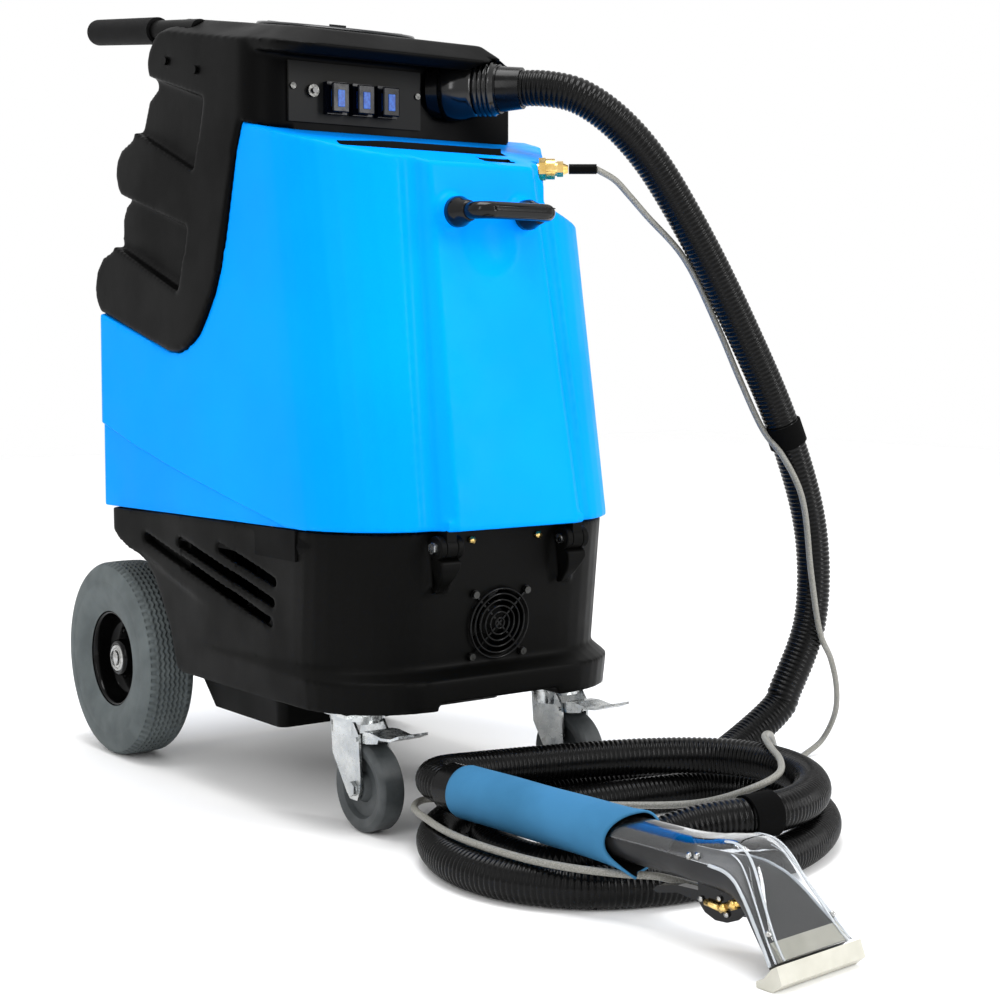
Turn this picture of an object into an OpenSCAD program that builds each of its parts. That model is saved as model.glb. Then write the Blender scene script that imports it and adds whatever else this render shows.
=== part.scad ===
// Portable hot-water carpet extractor: wheeled base, tilting tanks, vacuum hose and upholstery wand.
// Frame: +Z up, front toward -Y, origin on the floor midway between the rear axle and the casters.

/* [Wheels] */
// Distance from the rear axle to the caster swivel axes
wheelbase = 500; // [480:5:520]
// Outer diameter of the rear tyres
tyre_d = 254; // [240:2:256]
// Width of a rear tyre
tyre_w = 63; // [56:1:64]
// Distance of a rear tyre's outer face from the centre plane
tyre_face_x = 212; // [210:1:214]
// Diameter of the rim
rim_d = 124; // [116:1:128]
// Diameter of the rear axle
axle_d = 16; // [14:0.5:18]
// Diameter of a caster wheel
caster_d = 101.6; // [98:0.1:101.6]
// Width of a caster wheel
caster_w = 31; // [26:1:32]
// Distance of a caster's swivel axis from the centre plane
caster_x = 142; // [138:1:146]
// Distance from the swivel axis to the caster's axle
caster_trail = 25; // [20:1:28]

/* [Base] */
// Half of the base housing's width
base_half_w = 211; // [208:1:212]
// Height of the base housing's upper rim
base_top = 328; // [326:1:328]
// Thickness of the moulded walls
wall = 6; // [5:0.5:8]
// Side of the square cooling fan
fan_size = 80; // [80:1:80]
// Distance between the fan's screws
fan_pitch = 71.5; // [71.5:0.1:71.5]

/* [Tanks] */
// Half of the tanks' width
tank_half_w = 215; // [213:1:216]
// Height of the pivot bolts that the tanks tilt on
pivot_z = 320; // [318:1:321]
// Distance of the pivot bolts in front of the origin
pivot_y = -346; // [-348:1:-345]
// Diameter of the round lid
lid_d = 196; // [190:1:198]
// Diameter of the front lifting handle's bar
lift_bar_d = 19; // [17:0.5:20]
// Diameter of the foam on the push handle
foam_d = 33; // [31:0.5:34]
// Diameter of the push handle's tube
push_tube_d = 25; // [24:0.5:27]

/* [Hoses] */
// Outer diameter of the vacuum hose
vac_d = 42; // [42:0.5:42]
// Outer diameter of the solution hose
sol_d = 7.6; // [7.6:0.1:7.6]

/* [Wand] */
// Outer diameter of the wand's tube
wand_d = 42; // [40:0.5:43]
// Outer diameter of the grip wrap
grip_d = 58; // [56:1:58]
// Width of the wand's mouth
lip_w = 112; // [104:1:114]

/* [Hidden] */
$fn = 48;
eps = 0.01;
corner_angle = -36.6;

axle_y = wheelbase / 2;
caster_y = -wheelbase / 2;
wheel_r = tyre_d / 2;
caster_r = caster_d / 2;
tyre_in_x = tyre_face_x - tyre_w;
wheel_mid_x = (tyre_face_x + tyre_in_x) / 2;
run_gap = 0.05;

// Points of a circular arc
function arc(cx, cy, r, a0, a1, n) =
    [for (i = [0 : n]) let (a = a0 + (a1 - a0) * i / n) [cx + r * cos(a), cy + r * sin(a)]];

// Plan outline, symmetric about X, with round corners at the front and the rear
function plan(w, w_front, y_rear, y_front, r_front, r_rear) = concat(
    arc(-w_front + r_front, y_front + r_front, r_front, 180, 270, 10),
    arc(w_front - r_front, y_front + r_front, r_front, 270, 360, 10),
    arc(w - r_rear, y_rear - r_rear, r_rear, 0, 90, 5),
    arc(-w + r_rear, y_rear - r_rear, r_rear, 90, 180, 5));

// Closed skin through plan outlines of equal length, each at its own height
module loft(outlines, heights) {
    n = len(outlines[0]);
    m = len(outlines);
    points = [for (k = [0 : m - 1]) for (p = outlines[k]) [p[0], p[1], heights[k]]];
    sides = [for (k = [0 : m - 2]) for (i = [0 : n - 1])
        [k * n + i, (k + 1) * n + i, (k + 1) * n + (i + 1) % n, k * n + (i + 1) % n]];
    bottom = [[for (i = [0 : n - 1]) i]];
    top = [[for (i = [n - 1 : -1 : 0]) (m - 1) * n + i]];
    polyhedron(points = points, faces = concat(sides, bottom, top), convexity = 4);
}

// Side outline, given as [Y, Z] points, made solid from -half to +half along X
module along_x(outline, half) {
    translate([-half, 0, 0])
        rotate([90, 0, 90])
            linear_extrude(2 * half, convexity = 6) polygon(outline);
}

// Outline of distance toward the front right corner against height, made solid across it
module along_corner(outline) {
    rotate([0, 0, corner_angle]) rotate([90, 0, 0]) translate([0, 0, -500])
        linear_extrude(1000, convexity = 4) polygon(outline);
}

// Cylinder along X between two positions
module bar_x(x0, x1, d, y = 0, z = 0) {
    translate([x0, y, z]) rotate([0, 90, 0]) cylinder(h = x1 - x0, d = d);
}

// Frame of a swept tube: unit vectors across the direction t
function unit(v) = v / norm(v);
function across(t) = unit(cross(t, abs(t[2]) > 0.9 ? [1, 0, 0] : [0, 0, 1]));
function tangent(route, i) =
    unit(route[min(i + 1, len(route) - 1)] - route[max(i - 1, 0)]);

// Across-vectors carried along the route without twist
function carried(route, i, side) = i == 0 ? side :
    let (t = tangent(route, i), s = carried(route, i - 1, side)) unit(s - t * (s * t));

// Tube swept through the route's own points
module swept_tube(route, d, sides = 10) {
    n = len(route);
    start = across(tangent(route, 0));
    rings = [for (i = [0 : n - 1])
        let (t = tangent(route, i), u = carried(route, i, start), v = cross(t, u))
            for (k = [0 : sides - 1]) let (a = 360 * k / sides)
                route[i] + d / 2 * (cos(a) * u + sin(a) * v)];
    skin = [for (i = [0 : n - 2]) for (k = [0 : sides - 1])
        [i * sides + k, i * sides + (k + 1) % sides,
         (i + 1) * sides + (k + 1) % sides, (i + 1) * sides + k]];
    ends = [[for (k = [sides - 1 : -1 : 0]) k], [for (k = [0 : sides - 1]) (n - 1) * sides + k]];
    polyhedron(points = rings, faces = concat(skin, ends), convexity = 10);
}

// ---------------------------------------------------------------- base and running gear

base_floor = 139;
skirt_top = 184;
front_top_y = -334;
front_low_y = -312;

base_side = [[238, base_top], [236, 304], [212, 288], [178, 276], [146, 264], [124, 246], [106, 222],
             [84, 188], [66, base_floor], [-360, base_floor], [-360, base_top + 8.4]];

module base_block(inset = 0) {
    loft([plan(base_half_w - inset, 198 - inset, 236 - inset, front_low_y + inset, 110, 14),
          plan(base_half_w - inset, 201 - inset, 238 - inset, front_top_y + inset, 116, 14)],
         [base_floor + inset, base_top + 10]);
}

module base_skirt() {
    translate([0, 0, base_floor - 2])
        loft([plan(208, 203, 60, -334, 110, 8), plan(209, 206, 60, -337, 112, 8),
              plan(202, 200, 60, -316, 110, 8)], [0, 34, 46]);
}

louvres = [[[140, 297], [-158, 225]], [[51, 298], [-163, 248]], [[-47, 300], [-168, 272]]];

module louvre_slots() {
    for (slot = louvres) {
        run = slot[1] - slot[0];
        angle = atan2(run[1], run[0]);
        for (side = [-1, 1])
            translate([side * base_half_w, slot[0][0], slot[0][1]])
                rotate([angle, 0, 0]) {
                    translate([-15, 0, -6]) cube([30, norm(run), 12]);
                    for (end = [0, norm(run)]) bar_x(-15, 15, 12, end, 0);
                }
    }
}

// Both flanks lie a little further in below a sloping crease
module flank_crease() {
    for (side = [-1, 1])
        translate([side * (base_half_w + 4), 0, 0])
            along_x([[150, 276], [82, 255], [-9, 230], [-107, 206], [-242, 177], [-300, 165],
                     [-300, 100], [200, 100], [200, 276]], 10);
}

pivot_x = 87;
ear_w = 7;
knuckle_w = 14;

// Ears that stand forward of the base and hold the tilt bolts
module hinge_ears() {
    for (side = [-1, 1]) for (off = [-1, 1])
        translate([side * pivot_x + off * (knuckle_w + ear_w + 1) / 2, 0, 0])
            difference() {
                union() {
                    bar_x(-ear_w / 2, ear_w / 2, 26, pivot_y, pivot_z - 2);
                    along_x([[-322, 318], [-340, 326], [-358, 312], [-356, 304], [-322, 262]], ear_w / 2);
                }
                bar_x(-ear_w, ear_w, 8.1, pivot_y, pivot_z);
            }
}

fan_y = -322;
fan_z = 227;

// Space inside the shell, kept clear of the wheel wells
module base_inside() {
    difference() {
        loft([plan(base_half_w - wall, 192, 226, front_low_y + wall + 2, 104, 10),
              plan(base_half_w - wall, 195, 230, front_top_y + wall + 2, 110, 10)],
             [base_floor + wall, base_top + 12]);
        for (side = [-1, 1])
            translate([side * 190 - 50, 42, 0]) cube([100, 220, 312]);
    }
}

module base_housing() color("#1d1d1d") difference() {
    union() {
        difference() {
            union() {
                intersection() {
                    base_block();
                    along_x(base_side, 240);
                }
                intersection() {
                    base_skirt();
                    along_x([[54, 130], [54, 190], [-380, 190], [-380, 130]], 260);
                }
            }
            base_inside();
        }
        // Inner walls beside and behind the machinery, and its floor
        for (side = [-1, 1])
            translate([side * 137 - 3, 40, base_floor]) cube([6, 186, 150]);
        translate([-140, 224, base_floor]) cube([280, 6, 150]);
        translate([-140, 40, base_floor]) cube([280, 186, wall]);
        hinge_ears();
        // Bosses that carry the axle
        for (side = [-1, 1]) translate([side * 131 - 10, 0, 0]) {
            bar_x(0, 20, 40, axle_y, wheel_r);
            translate([0, axle_y - 40, wheel_r - 6]) cube([20, 50, 60]);
        }
    }
    louvre_slots();
    flank_crease();
    for (side = [-1, 1])
        translate([side * 195 - 53, 0, 0]) wheel_well();
    bar_x(-160, 160, axle_d, axle_y, wheel_r);
    // Fan hole and its screw holes
    at_fan() {
        cylinder(h = 60, d = 74, center = true);
        at_fan_screws() cylinder(h = 60, d = 4.2, center = true);
    }
    // The skirt's middle ends higher than its corners
    translate([-88, -360, base_floor - 12]) cube([168, 120, 18]);
}

// Space that a rear wheel turns in
module wheel_well() {
    translate([0, axle_y, wheel_r]) rotate([0, 90, 0]) cylinder(h = 106, r = wheel_r + 18);
}

module under_pan() color("#161616") {
    loft([plan(160, 160, 60, -112, 12, 12), plan(166, 166, 96, -122, 14, 14)], [90, base_floor - 2.2]);
}

module rear_axle() color("silver") {
    bar_x(-218, 218, axle_d, axle_y, wheel_r);
}

module axle_nuts() color("gainsboro") {
    for (side = [-1, 1]) translate([side * 196, axle_y, wheel_r]) rotate([0, side * 90, 0]) {
        difference() {
            union() {
                cylinder(h = 4, d = 30);
                translate([0, 0, 4]) cylinder(h = 12, d = 24, $fn = 6);
            }
            translate([0, 0, -1]) cylinder(h = 18, d = axle_d);
        }
    }
}

tyre_profile = concat(
    [[62.3, -20], [72, -24], [80, -26]],
    arc(92, -tyre_w / 2 + 12, 12, 200, 270, 3),
    arc(wheel_r - 12, -tyre_w / 2 + 12, 12, 270, 340, 5),
    [[wheel_r, -10], [wheel_r, 10]],
    arc(wheel_r - 12, tyre_w / 2 - 12, 12, 20, 90, 5),
    arc(92, tyre_w / 2 - 12, 12, 90, 160, 3),
    [[80, 26], [72, 24], [62.3, 20]]);

module tyre() {
    rotate([0, 90, 0]) rotate_extrude($fn = 96) polygon(tyre_profile);
}

module tyre_left() color("#6f7577") translate([-wheel_mid_x, axle_y, wheel_r]) tyre();
module tyre_right() color("#6f7577") translate([wheel_mid_x, axle_y, wheel_r]) tyre();

// Dished steel rim, its hollow side away from the centre plane
module rim(side) {
    rotate([0, side * 90, 0]) rotate_extrude($fn = 96)
        polygon([[17.1, -24], [30, -24], [34, -14], [50, -12], [57, -20], [62, -21], [62, 21], [58, 24],
                 [56, 18], [54, -4], [48, -8], [34, -8], [28, 4], [26, 14], [17.1, 14]]);
}

module rim_left() color("#101010") translate([-wheel_mid_x, axle_y, wheel_r]) rim(-1);
module rim_right() color("#101010") translate([wheel_mid_x, axle_y, wheel_r]) rim(1);

module hub_bearings(side) {
    for (z = [-24, 4])
        rotate([0, side * 90, 0]) translate([0, 0, z]) difference() {
            cylinder(h = 10, d = 34.2);
            translate([0, 0, -1]) cylinder(h = 12, d = axle_d + 2 * run_gap);
        }
}

module hub_bearings_left() color("silver") translate([-wheel_mid_x, axle_y, wheel_r]) hub_bearings(-1);
module hub_bearings_right() color("silver") translate([wheel_mid_x, axle_y, wheel_r]) hub_bearings(1);

// Casters: plate and race stay on the base, the fork swivels, the wheel runs and the pedal rocks
plate_top = base_floor - 2.2;

module caster_plate() {
    translate([-40, -40, plate_top - 4]) difference() {
        cube([80, 80, 4]);
        for (x = [12, 68]) for (y = [12, 68]) translate([x, y, -1]) cylinder(h = 6, d = 8.5);
    }
    translate([0, 0, plate_top - 12]) cylinder(h = 8.5, d = 62);
    translate([0, 0, plate_top - 17]) cylinder(h = 6, d = 26);
}

module caster_plates() color("#c9ccd0") {
    for (side = [-1, 1]) translate([side * caster_x, caster_y, 0]) caster_plate();
}

fork_top = plate_top - 12.4;
fork_gap = caster_w / 2 + 2;
pedal_y = -30;
pedal_z = 106.5;
caster_axle_z = caster_r;

module caster_fork() {
    difference() {
        union() {
            difference() {
                translate([0, 0, fork_top - 14]) cylinder(h = 14, d = 58);
                translate([0, 0, fork_top - 18]) cylinder(h = 14.5, d = 51);
                translate([-fork_gap, -60, fork_top - 20]) cube([2 * fork_gap, 60, 16.5]);
            }
            for (side = [-1, 1])
                translate([side * (fork_gap + 1.5), 0, 0])
                    along_x([[24, fork_top], [20, 84], [-8, 46], [-16, 38], [-caster_trail - 6, 38],
                             [-caster_trail - 12, 50], [-38, 66], [-34, fork_top - 12], [-24, fork_top]], 1.5);
        }
        bar_x(-40, 40, 10, -caster_trail, caster_axle_z);
        bar_x(-40, 40, 5 + 2 * run_gap, pedal_y, pedal_z);
        translate([0, 0, fork_top - 30]) cylinder(h = 60, d = 26.1);
    }
    // Axle bolt and nut
    bar_x(-fork_gap - 8, fork_gap + 8, 10, -caster_trail, caster_axle_z);
    for (side = [-1, 1])
        translate([side * (fork_gap + 5.8), -caster_trail, caster_axle_z]) rotate([0, 90, 0])
            cylinder(h = 5, d = 17, center = true, $fn = 6);
}

module caster_fork_left() color("#c9ccd0") translate([-caster_x, caster_y, 0]) caster_fork();
module caster_fork_right() color("#c9ccd0") translate([caster_x, caster_y, 0]) caster_fork();

module caster_wheel() {
    rotate([0, 90, 0]) rotate_extrude($fn = 96)
        polygon(concat([[5 + run_gap, -caster_w / 2], [14, -caster_w / 2], [17, -8], [32, -8],
                        [35, -caster_w / 2 + 2]],
                       arc(caster_r - 7, -caster_w / 2 + 7, 7, 270, 340, 4),
                       arc(caster_r - 7, caster_w / 2 - 7, 7, 20, 90, 4),
                       [[35, caster_w / 2 - 2], [32, 8], [17, 8], [14, caster_w / 2],
                        [5 + run_gap, caster_w / 2]]));
}

module caster_wheel_left() color("#5f6466")
    translate([-caster_x, caster_y - caster_trail, caster_axle_z]) caster_wheel();
module caster_wheel_right() color("#5f6466")
    translate([caster_x, caster_y - caster_trail, caster_axle_z]) caster_wheel();

// Bent steel tread on two cheeks that carry the brake shoe
module brake_pedal() {
    along_x([[-42, 117], [-56, 118], [-78, 116], [-96, 118], [-112, 124], [-112, 121], [-96, 115],
             [-78, 113], [-58, 113.5], [-42, 113]], 19);
    for (side = [-1, 1])
        translate([side * 15.4, 0, 0])
            along_x([[-24, 102.6], [-24, 111], [-42, 116], [-70, 115.5], [-66, 107], [-44, 103.2]], 1);
    along_x([[-38, 102.6], [-38, 108], [-47, 108], [-47, 103.6]], 15);
    bar_x(-22, 22, 5, pedal_y, pedal_z);
}

module brake_pedal_left() color("#c9ccd0") translate([-caster_x, caster_y, 0]) brake_pedal();
module brake_pedal_right() color("#c9ccd0") translate([caster_x, caster_y, 0]) brake_pedal();

// ---------------------------------------------------------------- fan

fan_back = -34.2;

module at_fan() {
    translate([0, fan_y, fan_z]) rotate([96.5, 0, 0]) children();
}

module fan_frame() color("#222222") at_fan() {
    translate([0, 0, fan_back]) {
        difference() {
            translate([-fan_size / 2, -fan_size / 2, 0]) cube([fan_size, fan_size, 25]);
            translate([0, 0, -1]) cylinder(h = 30, d = 76.6);
            at_fan_screws() translate([0, 0, -1]) cylinder(h = 30, d = 4);
        }
        cylinder(h = 3, d = 36);
        for (a = [45 : 90 : 315])
            rotate([0, 0, a]) translate([16, -2.5, 0]) cube([24, 5, 3]);
        translate([0, 0, 2.5]) cylinder(h = 14, d = 4);
    }
}

module fan_rotor() color("#2b2b2b") at_fan() translate([0, 0, fan_back]) {
    difference() {
        translate([0, 0, 4]) cylinder(h = 18, d = 34);
        translate([0, 0, 3]) cylinder(h = 14.5, d = 4 + 2 * run_gap);
    }
    for (a = [0 : 360 / 7 : 359])
        rotate([0, 0, a]) translate([16, 0, 13]) rotate([38, 0, 0])
            translate([0, -8.5, -1]) cube([20, 17, 2]);
}

module fan_guard() color("#111111") at_fan() {
    for (r = [6, 13, 20, 27, 34, 40])
        translate([0, 0, 3.6]) rotate_extrude() translate([r, 0]) circle(d = 2.4, $fn = 16);
    difference() {
        for (a = [45, 135])
            rotate([0, 0, a]) translate([-fan_pitch * 0.707, -1.1, 0.6]) cube([fan_pitch * 1.414, 2.2, 2.4]);
        at_fan_screws() cylinder(h = 20, d = 4, center = true);
    }
    at_fan_screws() difference() {
        translate([0, 0, 0.2]) cylinder(h = 2.2, d = 10);
        cylinder(h = 9, d = 4, center = true);
    }
}

module at_fan_screws() {
    for (sx = [-1, 1]) for (sz = [-1, 1])
        translate([sx * fan_pitch / 2, sz * fan_pitch / 2, 0]) children();
}

module fan_screws() color("#b9a97a") at_fan() at_fan_screws() {
    translate([0, 0, 3]) cylinder(h = 2.6, d = 8);
    translate([0, 0, -28]) cylinder(h = 31.5, d = 4);
}

module hinge_bolts() color("silver") {
    for (side = [-1, 1]) translate([side * pivot_x, pivot_y, pivot_z]) {
        bar_x(-17, 17, 8);
        translate([-side * 15, 0, 0]) rotate([0, -side * 90, 0]) cylinder(h = 4, d = 11);
        translate([side * 15, 0, 0]) rotate([0, side * 90, 0]) cylinder(h = 5, d = 13, $fn = 6);
    }
}

// ---------------------------------------------------------------- machinery in the base

module vacuum_motors() color("#8a8d90") {
    for (side = [-1, 1]) translate([side * 62, 40, base_floor + wall + 0.2]) {
        cylinder(h = 40, d = 112);
        translate([0, 0, 40]) cylinder(h = 26, d = 104);
        translate([0, 0, 66]) cylinder(h = 62, d = 78);
        translate([0, 0, 128]) cylinder(h = 12, d = 30);
    }
}

module pump() color("#b08d3f") translate([-90, -150, base_floor + wall + 0.2]) {
    translate([-36, -34, 0]) cube([72, 68, 52]);
    translate([0, 0, 26]) rotate([0, 90, 0]) translate([0, 0, 36]) cylinder(h = 62, d = 50);
    for (y = [-18, 18]) translate([-20, y, 52]) cylinder(h = 16, d = 14);
}

module heater() color("#9a9da0") translate([80, -190, base_floor + wall + 0.2]) {
    translate([-36, -50, 0]) cube([96, 88, 90]);
    for (y = [-30, 20]) translate([10, y, 90]) cylinder(h = 18, d = 15);
}

// ---------------------------------------------------------------- tanks

seam_rear_z = 329;
seam_front_z = 337;
lip_z = 741;
lip_y = -282;

// Edge where the recovery tank nests in the solution tank, from the rear to the front
nest_edge = [[262, 594], [256, 580], [66, 530], [44, 528], [20, 534], [-8, 551], [-28, 574],
             [-46, 598], [-61, 628], [-81, 703], [-96, 760], [-109, 790]];

solution_side = concat([[259, seam_rear_z]], [[257, 579]],
    [for (i = [2 : len(nest_edge) - 1]) nest_edge[i]],
    [[-150, 780], [-225, 762], [-300, lip_z - 4], [-380, 740], [-380, seam_front_z + 1]]);

module solution_body(inset = 0) {
    loft([plan(tank_half_w - inset, 203 - inset, 259 - inset, -352 + inset, 128 - inset / 2, 12),
          plan(tank_half_w - 1 - inset, 201 - inset, 257 - inset, lip_y + inset, 128 - inset / 2, 12),
          plan(tank_half_w - 2 - inset, 200 - inset, 256 - inset, -272 + inset, 128 - inset / 2, 12)],
         [seam_rear_z - 2, lip_z, 800]);
}

// Raised middle of the front face
module front_panel() {
    loft([[[-104, -346], [-83, -366], [83, -366], [104, -346], [104, -240], [-104, -240]],
          [[-84, -278], [-70, -292], [70, -292], [84, -278], [84, -200], [-84, -200]]],
         [seam_front_z - 8, lip_z + 2]);
}

right_cut = 245;

// Recess at the front right corner, beside the hose connection
module corner_recess() {
    along_corner([[right_cut, 700], [right_cut + 60, 668], [right_cut + 60, 830], [right_cut, 830]]);
}

// Lower flank that lies a little inside the flank above it
module flank_step() {
    for (side = [-1, 1])
        translate([side * (tank_half_w + 7), 0, 0])
            along_x([[300, 436], [262, 428], [-232, 337], [-232, 300], [300, 300]], 10);
}

module tank_knuckles() {
    for (side = [-1, 1]) translate([side * pivot_x, 0, 0]) difference() {
        union() {
            bar_x(-knuckle_w / 2, knuckle_w / 2, 24, pivot_y, pivot_z);
            along_x([[-340, 348], [-362, 348], [-357, 322], [-336, 318]], knuckle_w / 2);
        }
        bar_x(-knuckle_w, knuckle_w, 8 + 2 * run_gap, pivot_y, pivot_z);
    }
}

lift_y = -304;
lift_z = 684;
lift_half = 48;

module solution_tank() color("#009dff") difference() {
    union() {
        difference() {
            intersection() {
                union() {
                    solution_body();
                    front_panel();
                }
                along_x(solution_side, 260);
            }
            corner_recess();
            flank_step();
            // Water space, with a wide neck at the front
            difference() {
                intersection() {
                    solution_body(9);
                    along_x([[248, 344], [248, 566], [60, 518], [10, 524], [-40, 568], [-80, 640],
                             [-110, 740], [-270, 700], [-340, 346]], 204);
                }
                corner_shadow();
            }
            // Filling slot in the top, notch and bore of the hose connection
            translate([-150, -243, 700]) cube([222, 12, 100]);
            translate([18, -272, 735]) cube([44, 12, 40]);
            at_connect() {
                translate([0, 0, 3.5]) cylinder(h = 60, d = 34);
                translate([0, 0, -12]) cylinder(h = 30, d = 13);
            }
        }
        tank_knuckles();
        lift_bosses();
    }
    // Hollow under the lifting handle and the sockets of its ends
    translate([0, lift_y - 22, lift_z - 16]) hand_hollow();
    for (side = [-1, 1])
        translate([side * lift_half, lift_y + 22, lift_z]) rotate([90, 0, 0]) cylinder(h = 60, d = lift_bar_d);
}

module corner_shadow() {
    rotate([0, 0, corner_angle]) translate([right_cut - 10, -500, 640]) cube([120, 800, 300]);
}

// Round bosses the ends of the lifting handle go into
module lift_bosses() {
    for (side = [-1, 1])
        translate([side * lift_half, lift_y + 14, lift_z]) rotate([90, 0, 0])
            cylinder(h = 27, d1 = 46, d2 = lift_bar_d + 13);
}

// Shallow scoop, a lens cut by a ball
module hand_hollow() {
    translate([0, -78, 0]) sphere(r = 104, $fn = 64);
}

// Top of the recovery tank leans toward the front; the lid lies in that plane
top_tilt = 9.2;
lid_y = 16;
lid_z = 921.4;

module at_lid() {
    translate([0, lid_y, lid_z]) rotate([top_tilt, 0, 0]) children();
}

// Rear outline of the recovery tank, with two grip steps
recovery_side = concat(
    [for (i = [len(nest_edge) - 1 : -1 : 1]) nest_edge[i]],
    [[262, 588], [269, 598], [271, 612], [264, 632], [246, 648], [214, 657], [219, 672], [218, 694],
     [208, 711], [190, 720], [203, 732], [210, 750], [206, 768], [192, 781], [160, 791], [150, 812],
     [138, 836], [110, 850], [118, 861], [123, 880], [118, 893],
     [104, 907], [90, 914.6], [-150, 875.8], [-150, 780]]);

recovery_half_w = 205;

module recovery_body() {
    intersection() {
        loft([plan(tank_half_w - 1, tank_half_w - 3, 280, -150, 46, 16),
              plan(recovery_half_w, recovery_half_w - 2, 280, -150, 46, 16)], [520, 930]);
        along_x(recovery_side, 240);
    }
    // Cap with a visor over the controls
    at_lid()
        loft([plan(203, 198, 84, -222, 40, 40), plan(recovery_half_w, 201, 97, -234, 42, 46),
              plan(175, 168, 88, -200, 36, 40)], [-30, -18, 0]);
}

// The front right corner is cut off, and the cap slopes down to it
module recovery_corner_cut() {
    along_corner([[204.6, 480], [204.6, 866], [112, 932], [112, 980], [400, 980], [400, 480]]);
}

// Recesses in both flanks that a hand takes hold of
module flank_grips() {
    for (side = [-1, 1]) {
        translate([side * (recovery_half_w + 6), 0, 0]) {
            along_x([[-22, 825], [-20, 812], [-1, 747], [4, 743], [200, 817], [200, 886]], 16);
            along_x([[17, 677], [19, 664], [37, 606], [42, 602], [300, 692], [300, 753]], 16);
        }
    }
}

port_base = [50, -150, 838];
port_dir = -53;
rail_x = 178;
rail_angle = 6.5;
rail_y = 60;
rail_z = 914.9;
rail_len = 264;

module on_rail(side) {
    translate([side * rail_x, rail_y, rail_z]) rotate([rail_angle - 90, 0, 0]) children();
}

module at_port() {
    translate(port_base) rotate([0, 0, port_dir]) rotate([0, 90, 0]) children();
}

module recovery_tank() color("#1a1a1a") difference() {
    recovery_body();
    recovery_corner_cut();
    flank_grips();
    // Hollow inside, open at the top under the lid
    intersection() {
        loft([plan(180, 180, 236, -128, 36, 14), plan(176, 176, 236, -128, 36, 14)], [545, 906]);
        along_x([[150, 900], [100, 880], [80, 820], [170, 740], [160, 690], [240, 610], [60, 548],
                 [10, 560], [-30, 620], [-84, 790], [-130, 800], [-138, 880], [-60, 898], [20, 906]], 190);
        rotate([0, 0, corner_angle]) translate([-500, -500, 500]) cube([690, 1000, 500]);
    }
    at_lid() {
        translate([0, 0, -70]) cylinder(h = 90, d = lid_d - 34);
        translate([0, 0, -3]) cylinder(h = 20, d = lid_d + 2);
    }
    at_port() {
        cylinder(h = 90, d = 38, center = true);
        translate([0, 0, -14]) cylinder(h = 130, d = 68);
    }
    for (side = [-1, 1]) on_rail(side) translate([0, 0, -30]) cylinder(h = 120, d = push_tube_d);
    for (side = [-1, 1]) for (p = [[69, 877], [-7, 858]])
        bar_x(side * 200 - 30, side * 200 + 30, 6, p[0], p[1]);
}

module handle_bolts() color("#202020") {
    for (side = [-1, 1]) for (p = [[69, 877], [-7, 858]])
        translate([side * recovery_half_w, p[0], p[1]]) rotate([0, side * 90, 0]) {
            translate([0, 0, -24]) cylinder(h = 25, d = 6);
            translate([0, 0, 0.5]) cylinder(h = 3, d = 10);
        }
}

module lid_gasket() color("#0c0c0c") at_lid() translate([0, 0, -3]) difference() {
    cylinder(h = 2.8, d = lid_d - 6);
    translate([0, 0, -1]) cylinder(h = 5, d = lid_d - 26);
}

module lid() color([0.15, 0.16, 0.17, 0.8]) at_lid() {
    difference() {
        cylinder(h = 12, d = lid_d);
        translate([0, 0, -1]) cylinder(h = 9, d = lid_d - 12);
    }
    translate([0, 0, -14]) difference() {
        cylinder(h = 24, d = lid_d - 36);
        translate([0, 0, -1]) cylinder(h = 22, d = lid_d - 46);
    }
    for (a = [0, 120, 240])
        rotate([0, 0, a]) translate([lid_d / 2 - 18, -10, 12 - eps]) cube([12, 20, 3]);
}

// ---------------------------------------------------------------- controls

panel_left = -166;
panel_right = 12;
panel_low = 789;
panel_high = 856;
panel_y = -153;
switch_x = [-108, -74, -40];
switch_z = 817;

module control_panel() color("#45474a") difference() {
    translate([panel_left, panel_y, panel_low])
        cube([panel_right - panel_left, 3, panel_high - panel_low]);
    for (x = switch_x) translate([x - 9.5, panel_y - 1, switch_z - 14]) cube([19, 5, 28]);
    translate([-136, panel_y + 4, 824]) rotate([90, 0, 0]) cylinder(h = 6, d = 9);
    for (x = [panel_left + 5, panel_right - 5]) translate([x, panel_y + 4, 828])
        rotate([90, 0, 0]) cylinder(h = 6, d = 4);
}

module panel_screws() color("silver") {
    for (x = [panel_left + 5, panel_right - 5]) translate([x, panel_y, 828]) rotate([90, 0, 0]) {
        cylinder(h = 2.4, d = 7);
        translate([0, 0, -3]) cylinder(h = 3, d = 4);
    }
}

module switch_guards() color("#0b0d12") {
    for (x = switch_x) translate([x, panel_y, switch_z]) difference() {
        translate([-13, -9, -18]) cube([26, 9, 36]);
        translate([-8, -12, -12]) cube([16, 14, 24]);
    }
}

module rocker() color("#2a6fd0") {
    difference() {
        along_x([[-10, -10], [-13.5, -9.5], [-11, 0], [-10.5, 9.5], [-7, 10], [-1, 7], [-1, -7]], 7.2);
        bar_x(-9, 9, 3.1, -4, 0);
    }
    bar_x(-7.9, 7.9, 3.1, -4, 0);
}

module rocker_1() translate([switch_x[0], panel_y, switch_z]) rocker();
module rocker_2() translate([switch_x[1], panel_y, switch_z]) rocker();
module rocker_3() translate([switch_x[2], panel_y, switch_z]) rocker();

module breaker_collar() color("silver") translate([-136, panel_y, 824]) rotate([90, 0, 0]) difference() {
    union() {
        cylinder(h = 5, d = 14);
        translate([0, 0, -3]) cylinder(h = 3, d = 9);
    }
    translate([0, 0, -5]) cylinder(h = 20, d = 6.1);
}

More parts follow.
